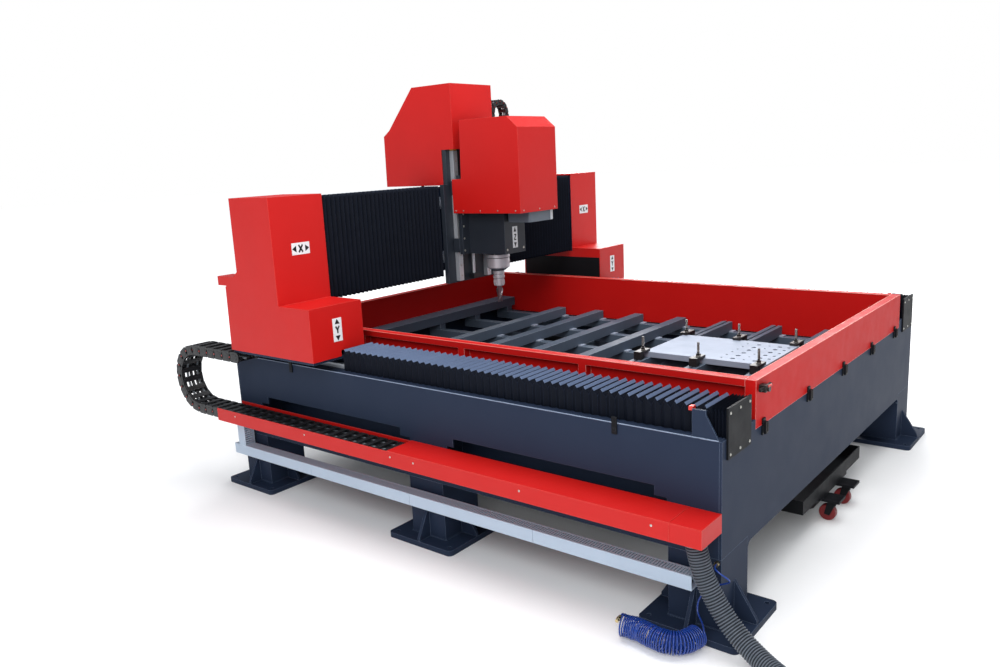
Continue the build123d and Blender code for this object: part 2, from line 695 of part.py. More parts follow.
save("base_front_plate", front_plate())
save("base_rear_plate", rear_plate())
save("base_side_left", side_beam())
save("base_side_right", mirrored(side_beam()))
for place, start in zip(("front", "middle", "rear"), LEG_STARTS):
    save(f"leg_{place}_left", leg(True, start))
    save(f"leg_{place}_right", leg(False, start))
save("bed_frame", bed_frame())
save("bed_cross_bars", cross_bars())
save("fixture_plate", fixture_plate())
save("strap_clamps", strap_clamps())
save("tray_wall_front", end_wall(0, 687))
save("tray_wall_rear", end_wall(TRAY_LENGTH - TRAY_RIM, 698))
save("tray_wall_left", side_wall())
save("tray_wall_right", mirrored(side_wall()))
save("chip_chutes", chip_chutes())
save("y_rails", y_rails())
save("bellows_end_plates", bellows_end_plates())
save("cable_tray", cable_tray())
save("wiring_duct", wiring_duct())
save("toggle_latches", toggle_latches())
save("air_valve", air_valve())
save("y_chain_lower", chain_lower())
save("y_chain_upper", chain_upper())
save("y_chain_loop", chain_loop())
save("y_bellows", y_bellows())

save("post_cover_left", post_cover())
save("post_cover_right", mirrored(post_cover()))
save("gantry_post_left", gantry_post())
save("gantry_post_right", mirrored(gantry_post()))
save("gantry_beam", gantry_beam())
save("x_rails", x_rails())
save("y_motors", y_motors())
save("x_bellows", x_bellows())

save("saddle_plate", saddle_plate())
save("x_bearings", x_bearings())
save("tower_cover", tower_cover())
save("x_motor", x_motor())
save("z_rails", z_rails())
save("z_motor", z_motor())
save("z_screw", z_screw())
save("z_chain", z_chain())

save("carriage_plate", carriage_plate())
save("spindle_block", spindle_block())
save("spindle_cover", spindle_cover())
save("spindle_motor", spindle_motor())
save("tool_holder", tool_holder())

save("chip_tray", chip_tray())
for side, x in zip(("left", "right"), CASTOR_X):
    save(f"castor_fork_{side}", castor_fork(x))
    save(f"castor_wheel_{side}", castor_wheel(x))

save("conduit_hose", limp_tube(HOSE_ROUTE, HOSE_R, "conduit hose"))
save("hose_coupling", hose_coupling())
save("air_hose_lead", limp_tube(AIR_ROUTE, AIR_R, "air hose lead"))
save("air_hose_coil", limp_tube(COIL_LINE, COIL_R, "air hose coil"))
save("air_fitting", air_fitting())
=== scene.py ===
"""Looks of a moving-gantry CNC router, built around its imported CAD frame.

Sizes are in millimetres in the machine's own frame: X across it with 0 at the middle of the tray,
Y from the front face to the rear and Z up from the floor. at() turns them into row-frame metres.
"""

import json
import logging
import math
import random
from dataclasses import dataclass, field
from enum import Enum
from typing import Callable, Iterable, Sequence

import bmesh
import bpy
import numpy as np
from mathutils import Matrix, Vector


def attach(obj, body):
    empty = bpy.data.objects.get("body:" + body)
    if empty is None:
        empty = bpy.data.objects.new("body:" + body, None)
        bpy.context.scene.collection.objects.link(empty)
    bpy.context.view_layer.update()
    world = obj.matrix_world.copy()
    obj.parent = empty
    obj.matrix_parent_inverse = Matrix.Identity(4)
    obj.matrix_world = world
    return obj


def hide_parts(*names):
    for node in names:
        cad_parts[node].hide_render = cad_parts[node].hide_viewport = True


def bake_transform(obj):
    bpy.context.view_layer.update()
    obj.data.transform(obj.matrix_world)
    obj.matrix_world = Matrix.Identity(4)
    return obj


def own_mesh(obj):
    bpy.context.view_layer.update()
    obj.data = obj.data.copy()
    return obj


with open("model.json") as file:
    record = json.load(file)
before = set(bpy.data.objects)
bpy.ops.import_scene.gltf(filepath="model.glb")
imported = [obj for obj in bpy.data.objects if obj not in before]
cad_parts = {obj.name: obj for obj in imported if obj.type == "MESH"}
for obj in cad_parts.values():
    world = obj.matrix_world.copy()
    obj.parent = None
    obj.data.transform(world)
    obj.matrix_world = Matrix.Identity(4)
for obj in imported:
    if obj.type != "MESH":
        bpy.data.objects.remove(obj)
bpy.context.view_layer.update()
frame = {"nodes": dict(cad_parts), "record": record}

LOG = logging.getLogger("router")
MM = 0.001
SHIFT = Vector((11.5, -1542.25, 0.0))
LEG_STARTS = (0, 1307, 2586)        # front faces of the three pairs of legs
LEG_MIDDLE = 102                    # from a leg's front face to its middle
SIDE_FACE = 1287                    # outer face of the side beams, from the machine's middle
Range = tuple[float, float]
Point = tuple[float, float, float]


def at(x: float, y: float, z: float) -> Vector:
    """Turn a machine point in millimetres into row-frame metres.

    Args:
        x: Distance across the machine.
        y: Distance behind the front face.
        z: Height above the floor.

    Returns:
        The point in the row frame, in metres.
    """
    return (Vector((x, y, z)) + SHIFT) * MM


def linear(code: str) -> tuple[float, float, float, float]:
    """Turn an sRGB hex colour into a linear colour with full alpha.

    Args:
        code: Six hex digits with a leading hash.

    Returns:
        Red, green, blue and alpha.
    """
    parts = [int(code[i:i + 2], 16) / 255 for i in (1, 3, 5)]
    red, green, blue = (p / 12.92 if p <= 0.04045 else ((p + 0.055) / 1.055) ** 2.4 for p in parts)
    return red, green, blue, 1.0


def add_node(tree: bpy.types.NodeTree, kind: str, inputs: dict | None = None,
             **settings: object) -> bpy.types.Node:
    """Add a shader node, set its inputs or link them, and set its own properties.

    Args:
        tree: The material's node tree.
        kind: Blender's type name of the node.
        inputs: Input name or number to a value, or to the socket that feeds it.
        settings: Properties of the node itself.

    Returns:
        The new node.
    """
    node = tree.nodes.new(kind)
    for name, value in settings.items():
        setattr(node, name, value)
    for name, value in (inputs or {}).items():
        if isinstance(value, bpy.types.NodeSocket):
            tree.links.new(value, node.inputs[name])
        else:
            node.inputs[name].default_value = value
    return node


# ---- finishes --------------------------------------------------------------------------------
MIX_FACTOR, MIX_A, MIX_B, MIX_OUT = 0, 6, 7, 2      # sockets of a Mix node set to RGBA


@dataclass(frozen=True)
class Finish:
    """One surface finish: a Principled shader and the pattern that feeds it.

    The pattern is a fine grain for bump, a broad cloud for colour and gloss, and a lighter edge from rounded
    normals, partly wear and partly a painted highlight.
    """

    name: str
    colour: str
    cloud: str
    edge: str = ""
    roughness: float = 0.4
    rough_spread: float = 0.08
    metallic: float = 0.0
    coat: float = 0.0
    sheen: float = 0.0
    ior: float = 1.5
    grain_mm: float = 2.0
    grain_depth_mm: float = 0.05
    stretch: Point = (1.0, 1.0, 1.0)
    cloud_mm: float = 180.0
    edge_mm: float = 2.0
    edge_gain: float = 2.2

    def colour_socket(self, tree: bpy.types.NodeTree, place: bpy.types.NodeSocket,
                      rounded: bpy.types.NodeSocket) -> bpy.types.NodeSocket:
        """Colour of the surface: two tones in a broad cloud, and a lighter edge that is partly wear and partly
        painted highlight.

        Args:
            tree: The material's node tree.
            place: Object coordinates.
            rounded: Normal of the rounded edge.

        Returns:
            The colour socket.
        """
        cloud = add_node(tree, "ShaderNodeTexNoise",
                         {"Vector": place, "Scale": 1000 / self.cloud_mm, "Detail": 4.0, "Roughness": 0.55})
        mix = add_node(tree, "ShaderNodeMix",
                       {MIX_FACTOR: cloud.outputs["Fac"], MIX_A: linear(self.colour), MIX_B: linear(self.cloud)},
                       data_type="RGBA")
        if not self.edge:
            return mix.outputs[MIX_OUT]
        flat = add_node(tree, "ShaderNodeNewGeometry")
        along = add_node(tree, "ShaderNodeVectorMath", {0: flat.outputs["Normal"], 1: rounded},
                         operation="DOT_PRODUCT")
        # Lighter colour where the rounded normal turns away from the flat one: partly wear, partly a painted
        # highlight on the edges.
        edge_wear_and_highlight = add_node(tree, "ShaderNodeMapRange",
                        {"Value": along.outputs["Value"], "From Min": 1.0, "From Max": 0.72,
                         "To Min": 0.0, "To Max": min(1.0, self.edge_gain * 0.4)})
        edged = add_node(tree, "ShaderNodeMix",
                         {MIX_FACTOR: edge_wear_and_highlight.outputs["Result"], MIX_A: mix.outputs[MIX_OUT],
                          MIX_B: linear(self.edge)}, data_type="RGBA")
        return edged.outputs[MIX_OUT]

    def make(self) -> bpy.types.Material:
        """Build the material.

        Returns:
            The finished material.
        """
        material = bpy.data.materials.new(self.name)
        material.use_nodes = True
        material.diffuse_color = linear(self.colour)
        tree = material.node_tree
        tree.nodes.clear()
        place = add_node(tree, "ShaderNodeTexCoord").outputs["Object"]
        rounded = add_node(tree, "ShaderNodeBevel", {"Radius": self.edge_mm * MM}, samples=4).outputs["Normal"]
        stretched = add_node(tree, "ShaderNodeMapping", {"Vector": place, "Scale": self.stretch})
        grain = add_node(tree, "ShaderNodeTexNoise",
                         {"Vector": stretched.outputs["Vector"], "Scale": 1000 / self.grain_mm, "Detail": 2.0})
        bump = add_node(tree, "ShaderNodeBump",
                        {"Height": grain.outputs["Fac"], "Distance": self.grain_depth_mm * MM,
                         "Strength": 1.0, "Normal": rounded})
        gloss = add_node(tree, "ShaderNodeTexNoise", {"Vector": stretched.outputs["Vector"],
                                                      "Scale": 3000 / self.cloud_mm, "Detail": 3.0})
        rough = add_node(tree, "ShaderNodeMapRange",
                         {"Value": gloss.outputs["Fac"], "From Min": 0.3, "From Max": 0.7,
                          "To Min": self.roughness - self.rough_spread,
                          "To Max": self.roughness + self.rough_spread})
        shader = add_node(tree, "ShaderNodeBsdfPrincipled",
                          {"Base Color": self.colour_socket(tree, place, rounded), "Metallic": self.metallic,
                           "Roughness": rough.outputs["Result"], "IOR": self.ior, "Coat Weight": self.coat,
                           "Coat Roughness": 0.15, "Sheen Weight": self.sheen, "Sheen Roughness": 0.5,
                           "Normal": bump.outputs["Normal"]})
        add_node(tree, "ShaderNodeOutputMaterial", {"Surface": shader.outputs["BSDF"]})
        return material


# Polyester powder coat, sprayed and baked: a faint orange peel about 3 mm across breaks up the
# reflections, and a pale edge colour paints the highlight where folded edges catch the light.
RED = Finish("red_polyester_powder_coat", "#C01410", "#C81714", "#EE5A50", 0.46, 0.03, ior=1.36,
             grain_mm=3.2, grain_depth_mm=0.03, edge_mm=3.0)
# The tray's coat: its strong pale edge colour paints the white highlight along the rim.
RED_TRAY = Finish("red_powder_coat_with_painted_rim_highlight", "#BC1311", "#C61815", "#FFB8AE", 0.5, 0.04, ior=1.2,
                  grain_mm=3.2, grain_depth_mm=0.03, edge_mm=3.5, edge_gain=2.5)
# The same coat, pale and glossy, on thin tubes along the tray's rolled rim edges: a painted highlight.
RED_RIM_HIGHLIGHT = Finish("red_powder_coat_as_painted_rim_highlight", "#E2685E", "#F09084", "", 0.3, 0.06,
                  grain_mm=3.0, grain_depth_mm=0.02, cloud_mm=90)
# Textured powder coat on welded plate: dark slate blue with dust in its texture; its pale edge colour is partly
# wear and partly a painted highlight.
SLATE = Finish("slate_textured_powder_coat", "#232D41", "#273246", "#7888A0", 0.55, 0.03, ior=1.22,
               grain_mm=4.0, grain_depth_mm=0.05, cloud_mm=420, edge_mm=2.4)
SLATE_DARK = Finish("slate_powder_coat_on_machined_casting", "#20262F", "#262D37", "#5F6A7A", 0.5, 0.04,
                    grain_mm=3.0, grain_depth_mm=0.04, edge_mm=2.2)
# Slate enamel on the bed's square tubes: lighter than the plate's slate and with pale edges, which paint the
# bright reflections along the upper faces.
SLATE_TUBE_PAINTED_HIGHLIGHT = Finish("slate_enamel_with_painted_highlight_on_square_tube", "#4A5563", "#566272", "#B8C4D2", 0.5, 0.05, ior=1.3,
                     grain_mm=3.0, grain_depth_mm=0.03, cloud_mm=240, edge_mm=3.2)
# The same coat, made pale: a painted highlight along a rounded plate edge and a weld.
SLATE_EDGE_HIGHLIGHT = Finish("slate_powder_coat_as_painted_edge_highlight", "#76849A", "#8E9CB2", "", 0.4, 0.05,
                    grain_mm=3.0, grain_depth_mm=0.03, cloud_mm=60)
# Black oxide and black powder coat on brackets, chutes and plates: low gloss with grey edges.
BLACK = Finish("black_powder_coated_sheet", "#0D0E11", "#131519", "#40444B", 0.55, 0.05, ior=1.25,
               grain_mm=3.0, grain_depth_mm=0.05, edge_mm=1.5)
# Hot-blackened steel of the strap clamps: dark grey-brown, oiled.
OXIDE = Finish("hot_blackened_tool_steel", "#2E2B2B", "#3A3736", "#8A8684", 0.42, 0.06, 0.6,
               grain_mm=2.0, grain_depth_mm=0.03, cloud_mm=40, edge_mm=1.0)
# Surface-ground tool steel: fine streaks along the wheel's path, satin and pale.
GROUND = Finish("surface_ground_tool_steel", "#929BAC", "#A6AFBF", "#F0F2F8", 0.6, 0.05, 0.25, ior=1.3,
                grain_mm=3.0, grain_depth_mm=0.02, stretch=(1.0, 0.05, 1.0), cloud_mm=90, edge_mm=1.2)
# Hardened rail steel, ground along its length: streaks run along Y or Z.
RAIL = Finish("ground_rail_steel", "#C6CBD2", "#D8DCE2", "#FAFAFA", 0.38, 0.06, 0.6,
              grain_mm=2.0, grain_depth_mm=0.02, stretch=(1.0, 1.0, 0.1), edge_mm=1.0)
# Turned alloy steel of the nose and the collet chuck: fine rings and a warm grey.
TURNED = Finish("turned_and_hardened_alloy_steel", "#B4B2B8", "#C8C6CC", "#FAFAFC", 0.42, 0.05, 0.55,
                grain_mm=1.2, grain_depth_mm=0.02, stretch=(0.1, 0.1, 1.0), cloud_mm=60, edge_mm=1.0)
# Zinc-plated and passivated steel of the screws: bright, slightly yellow.
ZINC = Finish("zinc_plated_steel", "#B4B2AA", "#C6C4BC", "#FFFFFF", 0.36, 0.06, 0.9,
              grain_mm=1.5, grain_depth_mm=0.02, cloud_mm=20, edge_mm=0.6)
# Carbide with an edge ground bright on the cutter.
CARBIDE = Finish("ground_tungsten_carbide", "#7C7478", "#948C90", "#E8E4E6", 0.34, 0.06, 0.95,
                 grain_mm=1.0, grain_depth_mm=0.02, cloud_mm=30, edge_mm=0.8)
# Cast and black-painted motor housings.
SERVO = Finish("black_painted_cast_aluminium", "#17181B", "#1F2125", "#50545C", 0.42, 0.08,
               grain_mm=2.5, grain_depth_mm=0.05, edge_mm=1.5)
# Extruded aluminium of the spindle motor in grey machine enamel.
MOTOR = Finish("grey_enamelled_aluminium_extrusion", "#59626D", "#626C77", "#98A2AE", 0.42, 0.04, coat=0.1,
               grain_mm=2.0, grain_depth_mm=0.03, edge_mm=1.5)
# Polyurethane-coated polyester cloth of the way covers: almost black; a grey edge colour paints a soft highlight
# along the folds.
CLOTH = Finish("polyurethane_coated_polyester_cloth", "#060A14", "#0A101D", "#2C3850", 0.66, 0.05, ior=1.22,
               grain_mm=1.6, grain_depth_mm=0.06, edge_mm=2.6)
# Thin spring-steel lamellae riveted over the long way covers: blue-grey and satin.
LAMELLA = Finish("blue_grey_lamella_sheet", "#566684", "#667898", "#B0C0DA", 0.4, 0.05, 0.25,
                 grain_mm=2.0, grain_depth_mm=0.02, stretch=(0.1, 1.0, 1.0), edge_mm=0.6)
# Injection-moulded glass-filled nylon of the cable chain: matt black with pale glass in the skin.
NYLON = Finish("moulded_glass_filled_nylon", "#121214", "#1B1B1E", "#43454A", 0.44, 0.08,
               grain_mm=1.6, grain_depth_mm=0.05, cloud_mm=40, edge_mm=1.2)
NYLON_RED = Finish("red_moulded_nylon", "#A02823", "#AE302A", "#D0564E", 0.46, 0.05, grain_mm=1.6, edge_mm=0.6)
# Extruded PVC: even, pale and slightly blue.
PVC = Finish("extruded_pale_blue_grey_pvc", "#A9B9CB", "#B3C3D4", "#DEE8F2", 0.45, 0.04,
             grain_mm=3.0, grain_depth_mm=0.02, stretch=(1.0, 0.2, 1.0), edge_mm=1.0)
# Corrugated polypropylene conduit: dusty mid grey and satin; a darker copy in the grooves between the ribs paints
# the shade there.
CONDUIT = Finish("corrugated_grey_polypropylene", "#525963", "#606873", "#98A0AA", 0.42, 0.05,
                 grain_mm=2.0, grain_depth_mm=0.03, cloud_mm=60, edge_mm=0.8)
CONDUIT_GROOVE_SHADE = Finish("corrugated_grey_polypropylene_with_painted_groove_shade", "#2A2F36", "#323840", "", 0.6, 0.04,
                      grain_mm=2.0, grain_depth_mm=0.03, cloud_mm=60)
# Extruded polyurethane air tube: deep blue and glossy.
AIR_BLUE = Finish("glossy_blue_polyurethane_tube", "#0A3080", "#103E98", "#4A7AD2", 0.3, 0.05, coat=0.3,
                  grain_mm=3.0, grain_depth_mm=0.01, cloud_mm=50, edge_mm=0.4)
# Cast polyurethane wheel tread in deep red.
TREAD = Finish("cast_red_polyurethane_tread", "#6E1014", "#7C1518", "#A43A3C", 0.45, 0.06,
               grain_mm=2.0, grain_depth_mm=0.04, cloud_mm=30, edge_mm=1.5)
# PVC cable jackets, extruded: black, grey and pale grey, with a dull gloss.
JACKET_BLACK = Finish("black_pvc_cable_jacket", "#141517", "#1C1D20", "#4A4C50", 0.42, 0.06, edge_mm=0.5)
JACKET = Finish("grey_pvc_cable_jacket", "#6C7278", "#7A8086", "#A0A4AA", 0.46, 0.05, edge_mm=0.5)
JACKET_PALE = Finish("white_pvc_cable_jacket", "#C0C4C8", "#CCD0D4", "#FFFFFF", 0.46, 0.05, edge_mm=0.5)
# Cast vinyl labels: white field and black marks, both satin.
VINYL_WHITE = Finish("white_cast_vinyl", "#E4E6E8", "#ECEEF0", "", 0.4, 0.04, grain_mm=4.0, grain_depth_mm=0.01)
VINYL_BLACK = Finish("black_cast_vinyl", "#101114", "#16181B", "", 0.4, 0.04, grain_mm=4.0, grain_depth_mm=0.01)
# Moulded yellow polyurethane end stop.
STOP_YELLOW = Finish("moulded_yellow_polyurethane", "#C99A1C", "#D8AA28", "#F0CC60", 0.42, 0.05, grain_mm=2.0)
STOP_RED = Finish("red_moulded_stop", "#C8281C", "#D83628", "#F07068", 0.4, 0.05, grain_mm=2.0)
BRASS = Finish("machined_nickel_brass", "#B9A67A", "#C9B88E", "#F2E6C4", 0.28, 0.06, 1.0,
               grain_mm=1.0, grain_depth_mm=0.02, cloud_mm=20, edge_mm=0.5)

SLOT_FINISHES = {
    "slate_paint": SLATE, "red_paint": RED, "black_paint": BLACK, "ground_steel": GROUND, "tool_steel": TURNED,
    "servo_black": SERVO, "motor_grey": MOTOR, "bellows_cloth": CLOTH, "chain_plastic": NYLON,
    "duct_plastic": PVC, "conduit_plastic": CONDUIT, "blue_polyurethane": AIR_BLUE, "wheel_polyurethane": TREAD,
}
NODE_FINISHES = {
    **{f"tray_wall_{side}": RED_TRAY for side in ("left", "right", "front", "rear")},
    "spindle_block": SLATE_DARK, "carriage_plate": SLATE_DARK, "saddle_plate": SLATE_DARK,
    "x_rails": RAIL, "y_rails": RAIL, "z_rails": RAIL, "z_screw": RAIL, "air_fitting": BRASS,
    "bed_cross_bars": SLATE_TUBE_PAINTED_HIGHLIGHT, "bed_frame": SLATE_TUBE_PAINTED_HIGHLIGHT,
    "strap_clamps": OXIDE, "air_valve": OXIDE, "chip_tray": BLACK,
}


class FinishRack:
    """Keeps each finish's material, so that every piece with that finish shares it."""

    def __init__(self) -> None:
        """Start with no material made."""
        self.made: dict[str, bpy.types.Material] = {}

    def get(self, finish: Finish) -> bpy.types.Material:
        """Material of a finish, made at its first use.

        Args:
            finish: The finish wanted.

        Returns:
            Its material.
        """
        if finish.name not in self.made:
            self.made[finish.name] = finish.make()
        return self.made[finish.name]


RACK = FinishRack()


# ---- mesh building ---------------------------------------------------------------------------
class Fabric:
    """Collects the vertices and faces of one piece, in machine millimetres."""

    def __init__(self) -> None:
        """Start empty, with the first finish chosen."""
        self.points: list[Vector] = []
        self.faces: list[tuple[int, ...]] = []
        self.tones: list[int] = []
        self.tone = 0

    def add(self, points: Iterable[Sequence[float]], faces: Iterable[Sequence[int]]) -> None:
        """Add a closed part.

        Args:
            points: Its vertices.
            faces: Its faces, as vertex numbers that start at 0.
        """
        start = len(self.points)
        self.points.extend(Vector(p) for p in points)
        for f in faces:
            self.faces.append(tuple(i + start for i in f))
            self.tones.append(self.tone)

    def block(self, x: Range, y: Range, z: Range) -> None:
        """Add a box.

        Args:
            x: Low and high X.
            y: Low and high Y.
            z: Low and high Z.
        """
        self.add([(a, b, c) for a in x for b in y for c in z],
                 [(0, 1, 3, 2), (4, 6, 7, 5), (0, 4, 5, 1), (2, 3, 7, 6), (0, 2, 6, 4), (1, 5, 7, 3)])

    def prism(self, outline: Sequence[tuple[float, float]], place: Callable[[float, float, float], Point],
              low: float, high: float) -> None:
        """Add a prism.

        Args:
            outline: Corners of the outline, in two coordinates.
            place: Turns the two coordinates and a depth into a machine point.
            low: Depth of the first end.
            high: Depth of the second end.
        """
        n = len(outline)
        points = [place(u, v, low) for u, v in outline] + [place(u, v, high) for u, v in outline]
        faces = [tuple(reversed(range(n))), tuple(range(n, 2 * n))]
        faces += [(i, (i + 1) % n, n + (i + 1) % n, n + i) for i in range(n)]
        self.add(points, faces)

    def bar(self, start: Sequence[float], end: Sequence[float], radius: float, sides: int = 16,
            far_radius: float | None = None) -> None:
        """Add a round bar or cone, or a hexagon when it has 6 sides.

        Args:
            start: Middle of the first end.
            end: Middle of the second end.
            radius: Radius at the first end.
            sides: Number of sides.
            far_radius: Radius at the second end, the same when left out.
        """
        a, b = Vector(start), Vector(end)
        axis = (b - a).normalized()
        side = axis.orthogonal().normalized()
        other = axis.cross(side)
        turns = [2 * math.pi * i / sides for i in range(sides)]
        ring = [side * math.cos(t) + other * math.sin(t) for t in turns]
        second = radius if far_radius is None else far_radius
        points = [a + r * radius for r in ring] + [b + r * second for r in ring]
        faces = [tuple(reversed(range(sides))), tuple(range(sides, 2 * sides))]
        faces += [(i, (i + 1) % sides, sides + (i + 1) % sides, sides + i) for i in range(sides)]
        self.add(points, faces)

    def turned(self, centre: tuple[float, float], profile: Sequence[tuple[float, float]], sides: int = 48) -> None:
        """Add a body turned about a vertical axis.

        Args:
            centre: X and Y of the axis.
            profile: Height and radius from the bottom up, starting and ending on the axis or a flat.
            sides: Number of sides.
        """
        turns = [2 * math.pi * i / sides for i in range(sides)]
        points = [(centre[0] + r * math.cos(t), centre[1] + r * math.sin(t), z) for z, r in profile for t in turns]
        self.add(points, wrapped_faces(len(profile), sides))

    def tube(self, line: Sequence[Vector], radii: Sequence[float] | float, sides: int = 12) -> None:
        """Add a closed tube along a line, with a radius for each point.

        Args:
            line: Points of the centreline.
            radii: One radius, or one for each point.
            sides: Number of sides.
        """
        line = [Vector(p) for p in line]
        sizes = [radii] * len(line) if isinstance(radii, (int, float)) else list(radii)
        ahead = (line[1] - line[0]).normalized()
        side = ahead.orthogonal().normalized()
        points = []
        for k, p in enumerate(line):
            before, after = line[max(k - 1, 0)], line[min(k + 1, len(line) - 1)]
            ahead = (after - before).normalized()
            side = (side - ahead * side.dot(ahead)).normalized()
            other = ahead.cross(side)
            for i in range(sides):
                t = 2 * math.pi * i / sides
                points.append(p + (side * math.cos(t) + other * math.sin(t)) * sizes[k])
        self.add(points, wrapped_faces(len(line), sides))

    def skin(self, rows: Sequence[Sequence[Point]]) -> None:
        """Add an open skin between rows of points.

        Args:
            rows: Rows with the same number of points.
        """
        wide = len(rows[0])
        points = [p for row in rows for p in row]
        faces = []
        for k in range(len(rows) - 1):
            for i in range(wide - 1):
                a = k * wide + i
                faces.append((a, a + 1, a + wide + 1, a + wide))
        self.add(points, faces)

    def make(self, name: str, finishes: Sequence[Finish], body: str, slot: str, bevel: float = 0.0,
             smooth: bool = False, ride: bool = True) -> bpy.types.Object:
        """Turn the collected mesh into a piece.

        Args:
            name: Name of the piece.
            finishes: Finishes in the order of the tones used.
            body: CAD body that it rides on.
            slot: The record's material slot; not used.
            bevel: Width of its bevelled edges in millimetres, or 0 for none.
            smooth: Whether its faces are shaded smooth.
            ride: False for a piece that is not attached to the body.

        Returns:
            The new object.
        """
        mesh = bpy.data.meshes.new(name)
        mesh.from_pydata([at(*p) for p in self.points], [], self.faces)
        for finish in finishes:
            mesh.materials.append(RACK.get(finish))
        mesh.polygons.foreach_set("material_index", self.tones)
        mesh.validate()
        fix_normals(mesh)
        if smooth:
            mesh.shade_smooth()
            mesh.set_sharp_from_angle(angle=math.radians(35))
        piece = bpy.data.objects.new(name, mesh)
        bpy.context.collection.objects.link(piece)
        if bevel:
            edge = piece.modifiers.new("edge", "BEVEL")
            edge.width = bevel * MM
            edge.segments = 2
            edge.limit_method = "ANGLE"
            edge.angle_limit = math.radians(40)
        if ride:
            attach(piece, body)
        LOG.info("%s: %d faces", name, len(mesh.polygons))
        return piece


def wrapped_faces(rows: int, sides: int) -> list[tuple[int, ...]]:
    """Faces of a closed tube whose vertices come in rings.

    Args:
        rows: Number of rings.
        sides: Vertices in each ring.

    Returns:
        The side faces row by row, then the first cap and the last one.
    """
    faces: list[tuple[int, ...]] = []
    for k in range(rows - 1):
        for i in range(sides):
            j = (i + 1) % sides
            faces.append((k * sides + i, k * sides + j, (k + 1) * sides + j, (k + 1) * sides + i))
    last = (rows - 1) * sides
    return [*faces, tuple(reversed(range(sides))), tuple(range(last, last + sides))]


def fix_normals(mesh: bpy.types.Mesh) -> None:
    """Point a mesh's faces outwards.

    Args:
        mesh: The mesh to mend.
    """
    work = bmesh.new()
    work.from_mesh(mesh)
    bmesh.ops.recalc_face_normals(work, faces=work.faces)
    work.to_mesh(mesh)
    work.free()


def along_x(u: float, v: float, depth: float) -> Point:
    """Place an outline drawn in Y and Z, with its depth along X."""
    return depth, u, v


def along_y(u: float, v: float, depth: float) -> Point:
    """Place an outline drawn in X and Z, with its depth along Y."""
    return u, depth, v


def along_z(u: float, v: float, depth: float) -> Point:
    """Place an outline drawn in X and Y, with its depth along Z."""
    return u, v, depth


